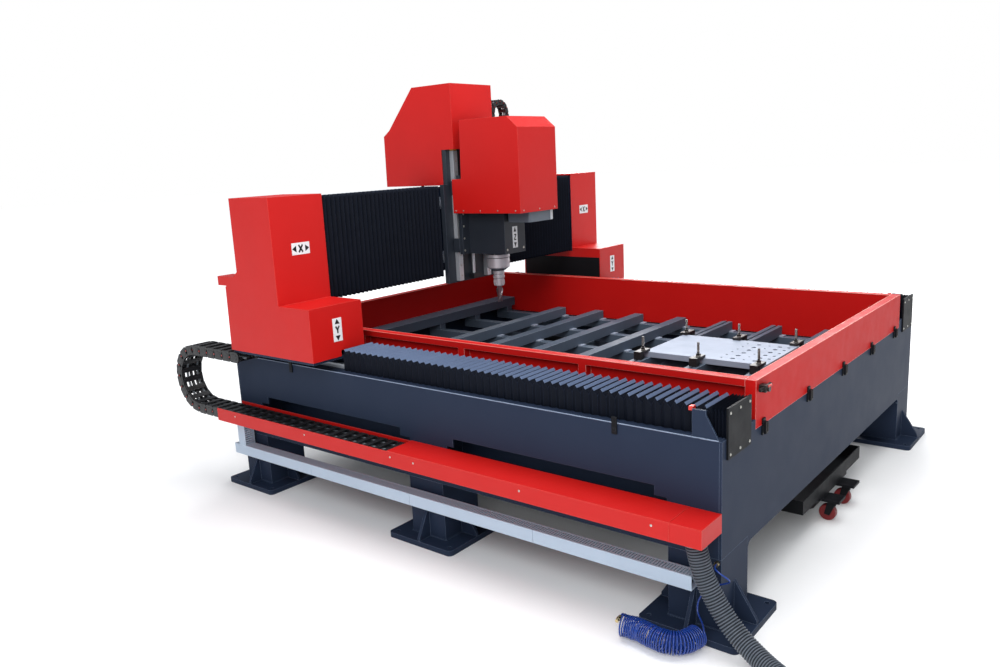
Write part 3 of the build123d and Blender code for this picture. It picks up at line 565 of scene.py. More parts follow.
# ---- camera and studio -----------------------------------------------------------------------
@dataclass
class Studio:
    """Camera, pale floor and soft lights."""

    place: Point = (-3792.37, -1107.34, 1687.5)
    yaw: float = 39.197
    pitch: float = 11.8095
    roll: float = -2.855
    lens: float = 29.915
    lights: list[tuple[Point, Point, float, float]] = field(default_factory=lambda: [
        ((-400, 700, 5400), (0, 1300, 400), 4400, 270),
        ((6300, 3700, 2350), (0, 1000, 750), 4200, 380),
        ((-5600, -1200, 3900), (-300, 1300, 700), 3000, 175),
    ])

    def camera(self) -> None:
        """Set the camera in the standing eye position in front of the near left corner."""
        yaw, pitch, roll = (math.radians(a) for a in (self.yaw, self.pitch, self.roll))
        ahead = Vector((math.cos(yaw) * math.cos(pitch), math.sin(yaw) * math.cos(pitch), -math.sin(pitch)))
        right = ahead.cross(Vector((0, 0, 1))).normalized()
        up = right.cross(ahead)
        side = math.cos(roll) * right + math.sin(roll) * up
        top = -math.sin(roll) * right + math.cos(roll) * up
        data = bpy.data.cameras.new("camera")
        data.lens = self.lens
        data.sensor_width = 36.0
        data.clip_end = 100.0
        camera = bpy.data.objects.new("camera", data)
        turned = Matrix((side, top, -ahead)).transposed().to_4x4()
        camera.matrix_world = Matrix.Translation(at(*self.place)) @ turned
        bpy.context.collection.objects.link(camera)
        bpy.context.scene.camera = camera

    def floor(self) -> None:
        """Lay a pale floor, seamless and slightly mottled, that glows more with distance: painted light far away,
        painted shade under the machine.
        """
        mesh = bpy.data.meshes.new("studio_floor")
        far = 60.0
        corners = [(-far, -far, 0), (far, -far, 0), (far, far, 0), (-far, far, 0)]
        mesh.from_pydata(corners, [], [(0, 1, 2, 3)])
        # Matt pale floor paint.
        paint = Finish("matt_pale_floor_paint", "#F4F4F4", "#FAFAFA", "", 0.9, 0.04,
                       grain_mm=6.0, grain_depth_mm=0.02, cloud_mm=900, ior=1.2)
        material = RACK.get(paint)
        shader = next(n for n in material.node_tree.nodes if n.type == "BSDF_PRINCIPLED")
        tree = material.node_tree
        place = add_node(tree, "ShaderNodeTexCoord").outputs["Object"]
        away = add_node(tree, "ShaderNodeVectorMath", {0: place}, operation="LENGTH")
        # Emission from 0.02 within 1.2 m of the middle to 0.66 at 7 m: painted light on the far floor, painted
        # shade under the machine.
        glow = add_node(tree, "ShaderNodeMapRange",
                        {"Value": away.outputs["Value"], "From Min": 1.2, "From Max": 7.0,
                         "To Min": 0.02, "To Max": 0.66})
        shader.inputs["Emission Color"].default_value = (1.0, 1.0, 1.0, 1.0)
        tree.links.new(glow.outputs["Result"], shader.inputs["Emission Strength"])
        mesh.materials.append(material)
        floor = bpy.data.objects.new("studio_floor", mesh)
        bpy.context.collection.objects.link(floor)

    def light(self) -> None:
        """Hang the soft boxes and set the bright surroundings."""
        for number, (place, aim, size, power) in enumerate(self.lights):
            data = bpy.data.lights.new(f"softbox_{number}", "AREA")
            data.shape = "SQUARE"
            data.size = size * MM
            data.energy = power
            lamp = bpy.data.objects.new(data.name, data)
            lamp.location = at(*place)
            lamp.rotation_euler = (at(*aim) - at(*place)).to_track_quat("-Z", "Y").to_euler()
            lamp.visible_camera = False
            bpy.context.collection.objects.link(lamp)
        world = bpy.data.worlds.new("surroundings")
        world.use_nodes = True
        tree = world.node_tree
        tree.nodes.clear()
        ray = add_node(tree, "ShaderNodeLightPath")
        soft = add_node(tree, "ShaderNodeBackground", {"Color": (0.88, 0.93, 1.0, 1.0), "Strength": 0.42})
        white = add_node(tree, "ShaderNodeBackground", {"Color": (1.0, 1.0, 1.0, 1.0), "Strength": 1.0})
        both = add_node(tree, "ShaderNodeMixShader",
                        {0: ray.outputs["Is Camera Ray"], 1: soft.outputs[0], 2: white.outputs[0]})
        add_node(tree, "ShaderNodeOutputWorld", {"Surface": both.outputs[0]})
        bpy.context.scene.world = world
        bpy.context.scene.view_settings.view_transform = "Standard"


# ---- cords -----------------------------------------------------------------------------------
def smooth_line(points: Sequence[Point], name: str) -> bpy.types.Curve:
    """NURBS curve whose control points are a cord's route.

    Args:
        points: The route in machine millimetres.
        name: Name of the curve data.

    Returns:
        The curve data, with no bevel.
    """
    data = bpy.data.curves.new(name, "CURVE")
    data.dimensions = "3D"
    spline = data.splines.new("NURBS")
    spline.points.add(len(points) - 1)
    for control, p in zip(spline.points, points):
        control.co = (*at(*p), 1.0)
    spline.order_u = 3
    spline.use_endpoint_u = True
    spline.resolution_u = 12
    return data


def line_points(data: bpy.types.Curve) -> list[Vector]:
    """Points along a curve that has no bevel, in row-frame metres.

    Args:
        data: The curve data.

    Returns:
        Its points in order.
    """
    holder = bpy.data.objects.new("line_reader", data)
    bpy.context.collection.objects.link(holder)
    bpy.context.view_layer.update()
    mesh = bpy.data.meshes.new_from_object(holder)
    points = [v.co.copy() for v in mesh.vertices]
    bpy.data.meshes.remove(mesh)
    bpy.data.objects.remove(holder)
    return points


def length_of(points: Sequence[Vector]) -> float:
    """Length of a broken line.

    Args:
        points: Its points.

    Returns:
        The sum of its runs.
    """
    return sum((b - a).length for a, b in zip(points, points[1:]))


def even_points(points: Sequence[Vector], step: float) -> list[Vector]:
    """Points at even steps along a broken line.

    Args:
        points: The line's points.
        step: Distance between the new points.

    Returns:
        The new points, both ends among them.
    """
    count = max(2, round(length_of(points) / step))
    reach = np.concatenate([[0.0], np.cumsum([(b - a).length for a, b in zip(points, points[1:])])])
    wanted = np.linspace(0.0, reach[-1], count + 1)
    columns = [np.interp(wanted, reach, [p[i] for p in points]) for i in range(3)]
    return [Vector(c) for c in zip(*columns)]


@dataclass
class Conduit:
    """Corrugated conduit from the cable tray to the floor, with its coupling."""

    route: tuple[Point, ...] = (
        (-1366, 62, 397), (-1366, 44, 303), (-1366, 8, 222), (-1369, -38, 152), (-1378, -92, 98),
        (-1396, -158, 60), (-1428, -232, 41), (-1466, -310, 38), (-1498, -396, 38), (-1518, -488, 38))
    radius: float = 37.5
    groove: float = 5.6
    pitch: float = 10.5

    def build(self) -> None:
        line = line_points(smooth_line(self.route, "conduit_line"))
        steps = even_points(line, self.pitch * MM / 6)
        shape = (0.0, 0.0, 0.35, 1.0, 1.0, 0.35)
        radii = [self.radius - self.groove * shape[i % 6] for i in range(len(steps))]
        work = Fabric()
        work.tube([p / MM - SHIFT for p in steps], radii, 40)
        # Faces in the grooves take the darker copy: painted shade between the ribs.
        work.tones = [1 if f // 40 % 6 in (2, 3, 4) else 0 for f in range(len(work.faces))]
        hose = work.make("conduit_hose_ribbed", [CONDUIT, CONDUIT_GROOVE_SHADE], "base", "conduit_plastic", smooth=True)
        hose.data.shade_smooth()
        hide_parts("conduit_hose")
        coupling = self.coupling()
        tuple(line[0])
        length_of(line)

    def coupling(self) -> bpy.types.Object:
        """Make the round coupling with its gripping ribs.

        Returns:
            The coupling.
        """
        end = Vector(self.route[-1])
        away = (end - Vector(self.route[-2])).normalized()
        work = Fabric()
        profile = ((0, 37.9), (14, 37.9), (14, 36), (60, 36), (60, 37.9), (78, 37.9), (78, 33), (90, 33))
        line = [end + away * d for d, _ in profile]
        for k in range(len(line) - 1):
            if (line[k + 1] - line[k]).length > 0:
                work.bar(line[k], line[k + 1], profile[k][1], 40)
        side = away.orthogonal().normalized()
        for i in range(24):
            spoke = Matrix.Rotation(2 * math.pi * i / 24, 3, away) @ side
            work.bar(end + away * 16 + spoke * 36, end + away * 58 + spoke * 36, 1.8, 8)
        piece = work.make("hose_coupling_ribbed", [NYLON], "base", "conduit_plastic", bevel=0.8)
        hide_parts("hose_coupling")
        return piece


@dataclass
class AirHose:
    """Recoil air hose: a lead from the front leg and loose coils on the floor."""

    route: tuple[Point, ...] = (
        (-1301, 14, 282), (-1322, 12, 283), (-1338, -6, 279), (-1337, -30, 268), (-1322, -44, 251),
        (-1306, -38, 233), (-1300, -16, 218), (-1301, 10, 206), (-1306, 34, 192), (-1314, 54, 172),
        (-1322, 66, 148), (-1330, 70, 124), (-1340, 64, 104), (-1354, 48, 93), (-1371, 30, 86))
    line: tuple[Point, ...] = (
        (-1385, 40, 48), (-1450, 52, 48), (-1486, 100, 48), (-1482, 170, 48), (-1464, 235, 48), (-1478, 298, 48))
    radius: float = 3.0
    coil: float = 40.5
    turns: int = 37
    first_angle: float = math.pi * 0.75

    def points(self) -> list[Point]:
        """Route of the lead and then the turns of the coil, each a little different.

        Returns:
            Control points of the hose.
        """
        seed = random.Random(7)
        axis_line = [p / MM - SHIFT for p in line_points(smooth_line(self.line, "air_coil_axis"))]
        steps, spare, reach = 12, 8, 4      # points in a turn, steps free at each end, steps for the direction
        total = self.turns * steps
        axis_points = even_points(axis_line, length_of(axis_line) / (total + 2 * spare))
        points = list(self.route)
        lean = [seed.uniform(-0.035, 0.035) for _ in range(self.turns + 2)]
        size = [self.coil - seed.uniform(0.0, 3.5) for _ in range(self.turns + 2)]
        for k in range(total):
            turn = k / steps
            whole, part = int(turn), turn % 1.0
            t = 2 * math.pi * turn + self.first_angle
            r = size[whole] * (1 - part) + size[whole + 1] * part
            tilt = lean[whole] * (1 - part) + lean[whole + 1] * part
            here = axis_points[k + spare]
            axis = (axis_points[k + spare + reach] - axis_points[k + spare - reach]).normalized()
            side = axis.cross(Vector((0, 0, 1))).normalized()
            up = side.cross(axis)
            centre = here + axis * tilt * r * math.sin(t)
            points.append(tuple(centre + side * (r * math.cos(t)) + up * (r * math.sin(t))))
        return points

    def build(self) -> None:
        route = self.points()
        data = smooth_line(route, "air_hose_line")
        line = line_points(data)
        data.bevel_depth = self.radius * MM
        data.bevel_resolution = 3
        data.use_fill_caps = True
        data.materials.append(RACK.get(AIR_BLUE))
        hose = bpy.data.objects.new("air_hose_recoil", data)
        bpy.context.collection.objects.link(hose)
        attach(hose, "base")
        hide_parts("air_hose_lead", "air_hose_coil")
        coupler = self.coupler(line)
        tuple(line[0])
        length_of(line)

    def coupler(self, line: Sequence[Vector]) -> bpy.types.Object:
        """Make the quick coupler at the far end of the hose.

        Args:
            line: Points of the hose's line.

        Returns:
            The coupler.
        """
        end = line[-1] / MM - SHIFT
        away = (line[-1] - line[-2]).normalized()
        work = Fabric()
        for near, far, r in ((-2, 12, 6.0), (12, 22, 8.0), (22, 34, 6.5)):
            work.bar(end + away * near, end + away * far, r, 6 if r == 8.0 else 20)
        return work.make("air_coupler", [BRASS], "base", "ground_steel", bevel=0.5)


# ---- way covers ------------------------------------------------------------------------------
def zigzag(low: float, high: float, count: int) -> list[tuple[float, bool]]:
    """Fold lines of a pleated cover: peaks and valleys by turns.

    Args:
        low: Where it starts.
        high: Where it ends.
        count: Number of pleats.

    Returns:
        Each fold's place, and whether it is a peak.
    """
    half = (high - low) / (2 * count)
    return [(low + half * i, i % 2 == 1) for i in range(2 * count + 1)]


@dataclass
class LongWayCovers:
    """Folded covers over both long rails, with bright lamellae on their upper folds."""

    outer: float = 1250
    inner: float = 1062
    foot: float = 727
    peak: float = 833
    valley: float = 807
    tuck: float = 9
    corner: float = 6
    slope_share: float = 0.56
    front_end: float = 1955
    stowed_end: float = 62
    pleat: float = 38.2
    rear: Range = (2616, 2790)
    travel: float = 1500

    def section(self, side: int, high: bool, y: float) -> list[Point]:
        """Outline of the cover at one fold.

        Args:
            side: -1 for the left rail and 1 for the right.
            high: Whether the fold is a peak.
            y: Where the fold is.

        Returns:
            Points from the outer foot over the top to the inner foot.
        """
        tuck = 0 if high else self.tuck
        top = self.peak if high else self.valley
        out, inn = self.outer - tuck, self.inner + tuck
        cut = self.corner
        outline = [(out, self.foot), (out, top - cut), (out - cut, top),
                   (inn + cut, top), (inn, top - cut), (inn, self.foot)]
        return [(side * x, y, z) for x, z in outline]

    def cover(self, work: Fabric, side: int, low: float, high: float, pleats: int, lamellae: bool) -> None:
        """Add a stretch of folds.

        Args:
            work: The piece to add to.
            side: -1 for the left rail and 1 for the right.
            low: Front end.
            high: Rear end.
            pleats: Number of folds.
            lamellae: Whether bright lamellae cover the slopes that face the front.
        """
        folds = zigzag(low, high, pleats)
        for (y0, p0), (y1, p1) in zip(folds, folds[1:]):
            work.tone = 0
            work.skin([self.section(side, p0, y0), self.section(side, p1, y1)])
            if lamellae and p1:
                a, b = sorted((side * (self.inner + 3), side * (self.outer - 2)))
                lift = 1.2
                work.tone = 1
                # The lamella starts partway up the slope; the black cloth left bare below it paints the shade in
                # each valley.
                y2 = y0 + (y1 - y0) * self.slope_share
                z2 = self.valley + (self.peak - self.valley) * self.slope_share
                edge = [(y2, z2 + lift), (y1 - 0.5, self.peak - 0.3), (y1, self.peak - 1.6), (y2 + 1, z2)]
                work.prism(edge, along_x, a, b)

    def build(self) -> None:
        """Make the four covers."""
        for side, name in ((-1, "left"), (1, "right")):
            # The stowed folds at the front end are tight and carry no lamellae.
            front = Fabric()
            self.cover(front, side, 0, self.stowed_end, 5, False)
            count = round((self.front_end - self.stowed_end) / self.pleat)
            self.cover(front, side, self.stowed_end, self.front_end, count, True)
            piece = front.make(f"way_cover_front_{name}", [CLOTH, LAMELLA], "base", "bellows_cloth")
            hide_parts("y_bellows")
            at(0, 0, self.foot)
            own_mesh(piece)
            rear = Fabric()
            self.cover(rear, side, *self.rear, 13, False)
            piece = rear.make(f"way_cover_rear_{name}", [CLOTH], "base", "bellows_cloth", ride=False)
            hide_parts("y_bellows")
            at(0, self.rear[0], 780)
            at(0, self.rear[1], 780)
            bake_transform(piece)


@dataclass
class BeamCovers:
    """Pleated covers along the gantry beam on both sides of the saddle."""

    left: Range = (-1093, -232)
    right: Range = (192, 1093)
    front: float = 2184
    back: float = 2300
    low: float = 1034
    high: float = 1556
    depth: float = 17
    pleat: float = 30
    reach: float = 57

    def section(self, high: bool, x: float) -> list[Point]:
        """Outline of the cover at one fold.

        Args:
            high: Whether the fold is a peak.
            x: Where the fold is.

        Returns:
            Points from the lower return up the front to the upper return.
        """
        tuck = 0 if high else self.depth
        y, z0, z1 = self.front + tuck, self.low + tuck * 0.7, self.high - tuck * 0.7
        outline = [(self.back, z0), (y + 5, z0), (y, z0 + 5), (y, z1 - 5), (y + 5, z1), (self.back, z1)]
        return [(x, b, c) for b, c in outline]

    def build(self) -> None:
        """Make the two covers."""
        for name, (low, high) in (("left", self.left), ("right", self.right)):
            work = Fabric()
            folds = zigzag(low, high, round((high - low) / self.pleat))
            work.skin([self.section(peak, x) for x, peak in folds])
            piece = work.make(f"beam_cover_{name}", [CLOTH], "gantry", "bellows_cloth", ride=False)
            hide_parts("x_bellows")
            fixed, moving = (low - self.reach, high + self.reach)
            if name == "right":
                fixed, moving = moving, fixed
            at(fixed, 2200, 1300)
            at(moving, 2200, 1300)
            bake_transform(piece)


# ---- cable chains ----------------------------------------------------------------------------
@dataclass
class Chain:
    """Moulded cable chain: side plates with pins, cross bars and the cables inside."""

    wide: Range
    tall: float
    pitch: float
    plate: float = 7
    cables: tuple[tuple[float, float, float, int], ...] = ()
    pin: float = 4.2

    def link(self, work: Fabric, place: Callable[[float, float, float], Point], bars: float = 0.42) -> None:
        """Add one link.

        Args:
            work: The piece to add to.
            place: Turns distance across, along and out of the chain into a machine point.
            bars: Width of the cross bars as a share of the pitch.
        """
        half, up = self.pitch / 2, self.tall / 2
        outline = [(-half - 5, -up * 0.45), (-half + 7, -up), (half - 7, -up), (half + 5, -up * 0.45),
                   (half + 5, up * 0.45), (half - 7, up), (-half + 7, up), (-half - 5, up * 0.45)]
        low, high = self.wide
        work.tone = 0
        for a, b in ((low, low + self.plate), (high - self.plate, high)):
            work.prism(outline, lambda u, v, d: place(d, u, v), a, b)
        inset = [(u * 0.55, v * 0.6) for u, v in outline]
        for a, b in ((low - 1.2, low), (high, high + 1.2)):
            work.prism(inset, lambda u, v, d: place(d, u, v), a, b)
        reach = self.pitch * bars / 2
        for v0, v1 in ((-up + 1, -up + 6), (up - 6, up - 1)):
            bar = [(-reach, v0), (reach, v0), (reach, v1), (-reach, v1)]
            work.prism(bar, lambda u, v, d: place(d, u, v), low + self.plate, high - self.plate)
            rib = [(-reach * 0.3, v0 - 1), (reach * 0.3, v0 - 1), (reach * 0.3, v1 + 1), (-reach * 0.3, v1 + 1)]
            work.prism(rib, lambda u, v, d: place(d, u, v), low + self.plate + 6, high - self.plate - 6)
        work.tone = 1
        for a, b in ((low - 2.2, low - 1.2), (high + 1.2, high + 2.2)):
            work.bar(place(a, half, 0), place(b, half, 0), self.pin, 14)

    def cable_run(self, work: Fabric, lines: Callable[[float, float], list[Point]]) -> None:
        """Add the cables inside.

        Args:
            work: The piece to add to.
            lines: Turns a cable's place across and out of the chain into its centreline.
        """
        for across, out, radius, tone in self.cables:
            work.tone = tone
            work.tube([Vector(p) for p in lines(across, out)], radius, 12)


CHAIN_FINISHES = [NYLON, NYLON_RED, JACKET_BLACK, JACKET]


@dataclass
class LongChain:
    """Cable chain of the long axis: lower run, loop and upper run."""

    chain: Chain = field(default_factory=lambda: Chain(
        (-1427.8, -1304.2), 54, 66.3, cables=((-1406, -6, 9, 2), (-1380, -8, 6, 3), (-1358, -5, 9, 2),
                                              (-1334, -7, 7, 2), (-1319, -8, 5, 3), (-1370, 12, 6, 2))))
    lower_z: float = 430
    upper_z: float = 758
    start: float = 1480
    loop: float = 2984
    upper_start: float = 2560
    radius: float = 164
    travel: float = 1500
    loop_links: int = 8

    def straight(self, work: Fabric, low: float, high: float, z: float, flip: int) -> None:
        """Add a straight run of links.

        Args:
            work: The piece to add to.
            low: Front end.
            high: Rear end.
            z: Height of its middle.
            flip: 1 when the outside of the loop faces up, -1 when it faces down.
        """
        count = round((high - low) / self.chain.pitch)
        step = (high - low) / count
        for k in range(count):
            middle = low + step * (k + 0.5)
            self.chain.link(work, lambda d, u, v: (d, middle + u * step / self.chain.pitch * 0.985, z + flip * v))
        self.chain.cable_run(work, lambda a, v: [(a, y, z + flip * v) for y in np.linspace(low, high, 12)])

    def bend(self, work: Fabric) -> None:
        """Add the loop's links.

        Args:
            work: The piece to add to.
        """
        turn = math.pi / self.loop_links
        scale = self.radius * turn / self.chain.pitch
        for k in range(self.loop_links):
            middle = -math.pi / 2 + turn * (k + 0.5)
            ahead = (-math.sin(middle), math.cos(middle))
            out = (math.cos(middle), math.sin(middle))
            centre = self.radius * math.cos(turn / 2)

            def place(d: float, u: float, v: float) -> Point:
                """Place a link's point on the loop."""
                u, v = u * scale, v * 0.97
                return (d, self.loop + out[0] * (centre + v) + ahead[0] * u,
                        (self.lower_z + self.upper_z) / 2 + out[1] * (centre + v) + ahead[1] * u)

            self.chain.link(work, place)
        angles = np.linspace(-math.pi / 2, math.pi / 2, 25)
        middle_z = (self.lower_z + self.upper_z) / 2
        self.chain.cable_run(work, lambda a, v: [
            (a, self.loop + math.cos(t) * (self.radius + v), middle_z + math.sin(t) * (self.radius + v))
            for t in angles])

    def build(self) -> None:
        """Make the three pieces of the chain."""
        work = Fabric()
        self.straight(work, self.start, self.loop, self.lower_z, -1)
        lower = work.make("long_chain_lower", CHAIN_FINISHES, "base", "chain_plastic")
        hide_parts("y_chain_lower")
        at(-1366, self.start, self.lower_z)
        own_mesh(lower)
        work = Fabric()
        self.straight(work, self.upper_start, self.loop, self.upper_z, 1)
        upper = work.make("long_chain_upper", CHAIN_FINISHES, "gantry", "chain_plastic", ride=False)
        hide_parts("y_chain_upper")
        at(-1366, self.upper_start, self.upper_z)
        at(-1366, self.loop, self.upper_z)
        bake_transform(upper)
        work = Fabric()
        self.bend(work)
        loop = work.make("long_chain_loop", CHAIN_FINISHES, "chain_loop", "chain_plastic")
        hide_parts("y_chain_loop")


@dataclass
class HeadChain:
    """Small cable chain that arches beside the tower down to the carriage."""

    chain: Chain = field(default_factory=lambda: Chain(
        (2099.2, 2154.8), 30, 38, plate=4, pin=2.6,
        cables=((2112, 0, 5, 2), (2126, 0, 6, 3), (2142, 0, 5, 2))))
    middle: Point = (247.5, 0, 1960)
    radius: float = 67.5
    fixed_low: float = 1800
    moving_low: float = 1611

    def build(self) -> None:
        """Make the chain as one piece that bends between tower and carriage."""
        work = Fabric()
        mx, _, mz = self.middle
        for x, low in ((mx - self.radius, self.fixed_low), (mx + self.radius, self.moving_low)):
            count = round((mz - low) / self.chain.pitch)
            step = (mz - low) / count
            sign = 1 if x > mx else -1
            for k in range(count):
                z = low + step * (k + 0.5)
                self.chain.link(work, lambda d, u, v: (x + sign * v, d, z + u * step / self.chain.pitch * 0.985))
            self.chain.cable_run(work, lambda a, v: [(x + sign * v, a, h) for h in np.linspace(low, mz, 8)])
        turn = math.pi / 6
        scale = self.radius * turn / self.chain.pitch
        for k in range(6):
            t = turn * (k + 0.5)
            out, ahead = (math.cos(t), math.sin(t)), (-math.sin(t), math.cos(t))
            reach = self.radius * math.cos(turn / 2)
            self.chain.link(work, lambda d, u, v: (mx + out[0] * (reach + v * 0.97) + ahead[0] * u * scale, d,
                                                   mz + out[1] * (reach + v * 0.97) + ahead[1] * u * scale))
        self.chain.cable_run(work, lambda a, v: [
            (mx + math.cos(t) * (self.radius + v), a, mz + math.sin(t) * (self.radius + v))
            for t in np.linspace(0, math.pi, 16)])
        piece = work.make("head_chain", CHAIN_FINISHES, "saddle", "chain_plastic", ride=False)
        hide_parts("z_chain")
        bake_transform(piece)


# ---- duct, screws and labels -----------------------------------------------------------------
@dataclass
class WiringDuct:
    """Slotted wiring duct along the legs, with its lid clipped on in lengths."""

    x: Range = (-1361, -1301)
    y: Range = (76, 2782)
    z: Range = (190, 245)
    wall: float = 3
    slot_pitch: float = 12.0
    slot_wide: float = 6.4
    strip: float = 8
    joints: tuple[float, ...] = (760, 1447, 2134)
    branch_y: Range = (2680, 2740)
    branch_top: float = 398

    def build(self) -> None:
        """Make the duct with its slots in the upper face, its brackets and the cables inside."""
        work = Fabric()
        (x0, x1), (y0, y1), (z0, z1), w = self.x, self.y, self.z, self.wall
        stops = [y0, *self.joints, y1]
        for a, b in zip(stops, stops[1:]):
            low, high = a + 0.8, b - 0.8
            work.block((x0, x0 + w), (low, high), (z0, z1 - w))
            work.block((x0 + w, x1), (low, high), (z0, z0 + w))
            work.block((x1 - w, x1), (low, high), (z0 + w, z1 - w))
            work.block((x0, x0 + self.strip), (low, high), (z1 - w, z1))
            work.block((x1 - self.strip, x1), (low, high), (z1 - w, z1))
        count = int((y1 - y0) / self.slot_pitch)
        for k in range(count):
            middle = y0 + (k + 0.5) * (y1 - y0) / count
            reach = (self.slot_pitch - self.slot_wide) / 2
            work.block((x0 + self.strip, x1 - self.strip), (middle - reach, middle + reach), (z1 - w, z1))
        b0, b1 = self.branch_y
        for x in ((x0, x0 + w), (x1 - w, x1)):
            work.block(x, (b0, b1), (z1, self.branch_top))
        for y in ((b0, b0 + w), (b1 - w, b1)):
            for k in range(int((self.branch_top - z1) / self.slot_pitch)):
                low = z1 + k * self.slot_pitch
                work.block((x0 + w, x1 - w), y, (low, low + self.slot_pitch - self.slot_wide))
        work.tone = 1
        for start in LEG_STARTS:
            middle = start + LEG_MIDDLE
            work.block((x1, -SIDE_FACE), (middle - 25, middle + 25), (200, 235))
        piece = work.make("slotted_wiring_duct", [PVC, SLATE], "base", "duct_plastic", bevel=0.5)
        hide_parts("wiring_duct")
        inside = Fabric()
        for k, radius in enumerate((8, 6, 9, 7)):
            x = x0 + 14 + k * 11
            lowest = z0 + w + radius + 1
            line = [Vector((x + 2.5 * math.sin(y / 170 + k), y, lowest + 2 * math.sin(y / 240 + 2 * k)))
                    for y in np.linspace(y0 + 20, y1 - 20, 60)]
            inside.tone = k % 2
            inside.tube(line, radius, 8)
        inside.make("duct_cables", [NYLON, BLACK], "base", "chain_plastic", smooth=True)


def screw(work: Fabric, head: Sequence[float], out: Sequence[float], radius: float, tall: float = 0.0) -> None:
    """Add a hexagon-socket button screw with a washer.

    Args:
        work: The piece to add to.
        head: Middle of the seat.
        out: Direction in which the head stands.
        radius: Radius of the head.
        tall: Height of the head, half its radius when left out.
    """
    seat, axis = Vector(head), Vector(out).normalized()
    height = tall or radius * 0.6
    work.bar(seat, seat + axis * height * 0.25, radius * 1.35, 20)
    work.bar(seat + axis * height * 0.25, seat + axis * height * 0.75, radius, 20)
    work.bar(seat + axis * height * 0.75, seat + axis * height, radius, 20, radius * 0.72)


class AxisLetter(Enum):
    """Strokes of an axis letter, as start and end in a unit square."""

    X = (((0.1, 0.0), (0.9, 1.0)), ((0.1, 1.0), (0.9, 0.0)))
    Y = (((0.5, 0.0), (0.5, 0.5)), ((0.5, 0.5), (0.1, 1.0)), ((0.5, 0.5), (0.9, 1.0)))
    Z = (((0.1, 1.0), (0.9, 1.0)), ((0.9, 1.0), (0.1, 0.0)), ((0.1, 0.0), (0.9, 0.0)))


@dataclass
class AxisLabel:
    """Vinyl label on an upright face: an axis letter between two arrows."""

    letter: AxisLetter
    x: Range
    z: Range
    y: float
    lengthwise: bool

    def stroke(self, work: Fabric, a: tuple[float, float], b: tuple[float, float], wide: float) -> None:
        """Add one stroke.

        Args:
            work: The piece to add to.
            a: Start in X and Z.
            b: End in X and Z.
            wide: Width of the stroke.
        """
        dx, dz = b[0] - a[0], b[1] - a[1]
        long = math.hypot(dx, dz)
        nx, nz = -dz / long * wide / 2, dx / long * wide / 2
        outline = [(a[0] + nx, a[1] + nz), (b[0] + nx, b[1] + nz), (b[0] - nx, b[1] - nz), (a[0] - nx, a[1] - nz)]
        work.prism(outline, along_y, self.y - 1.0, self.y - 0.6)

    def build(self, name: str, body: str) -> None:
        """Make the label.

        Args:
            name: Name of the piece.
            body: CAD body that it rides on.
        """
        work = Fabric()
        work.block(self.x, (self.y - 0.6, self.y - 0.1), self.z)
        work.tone = 1
        wide, tall = self.x[1] - self.x[0], self.z[1] - self.z[0]
        cx, cz = sum(self.x) / 2, sum(self.z) / 2
        size = min(wide, tall) * 0.62
        for a, b in self.letter.value:
            self.stroke(work, (cx + (a[0] - 0.5) * size * 0.8, cz + (a[1] - 0.5) * size),
                        (cx + (b[0] - 0.5) * size * 0.8, cz + (b[1] - 0.5) * size), size * 0.24)
        reach = (wide if self.lengthwise else tall) / 2
        for sign in (-1, 1):
            tip, base, half = sign * reach * 0.94, sign * reach * 0.5, size * 0.44
            if self.lengthwise:
                outline = [(cx + tip, cz), (cx + base, cz + half), (cx + base, cz - half)]
            else:
                outline = [(cx, cz + tip), (cx - half, cz + base), (cx + half, cz + base)]
            work.prism(outline, along_y, self.y - 1.0, self.y - 0.6)
        work.make(name, [VINYL_WHITE, VINYL_BLACK], body, "duct_plastic")


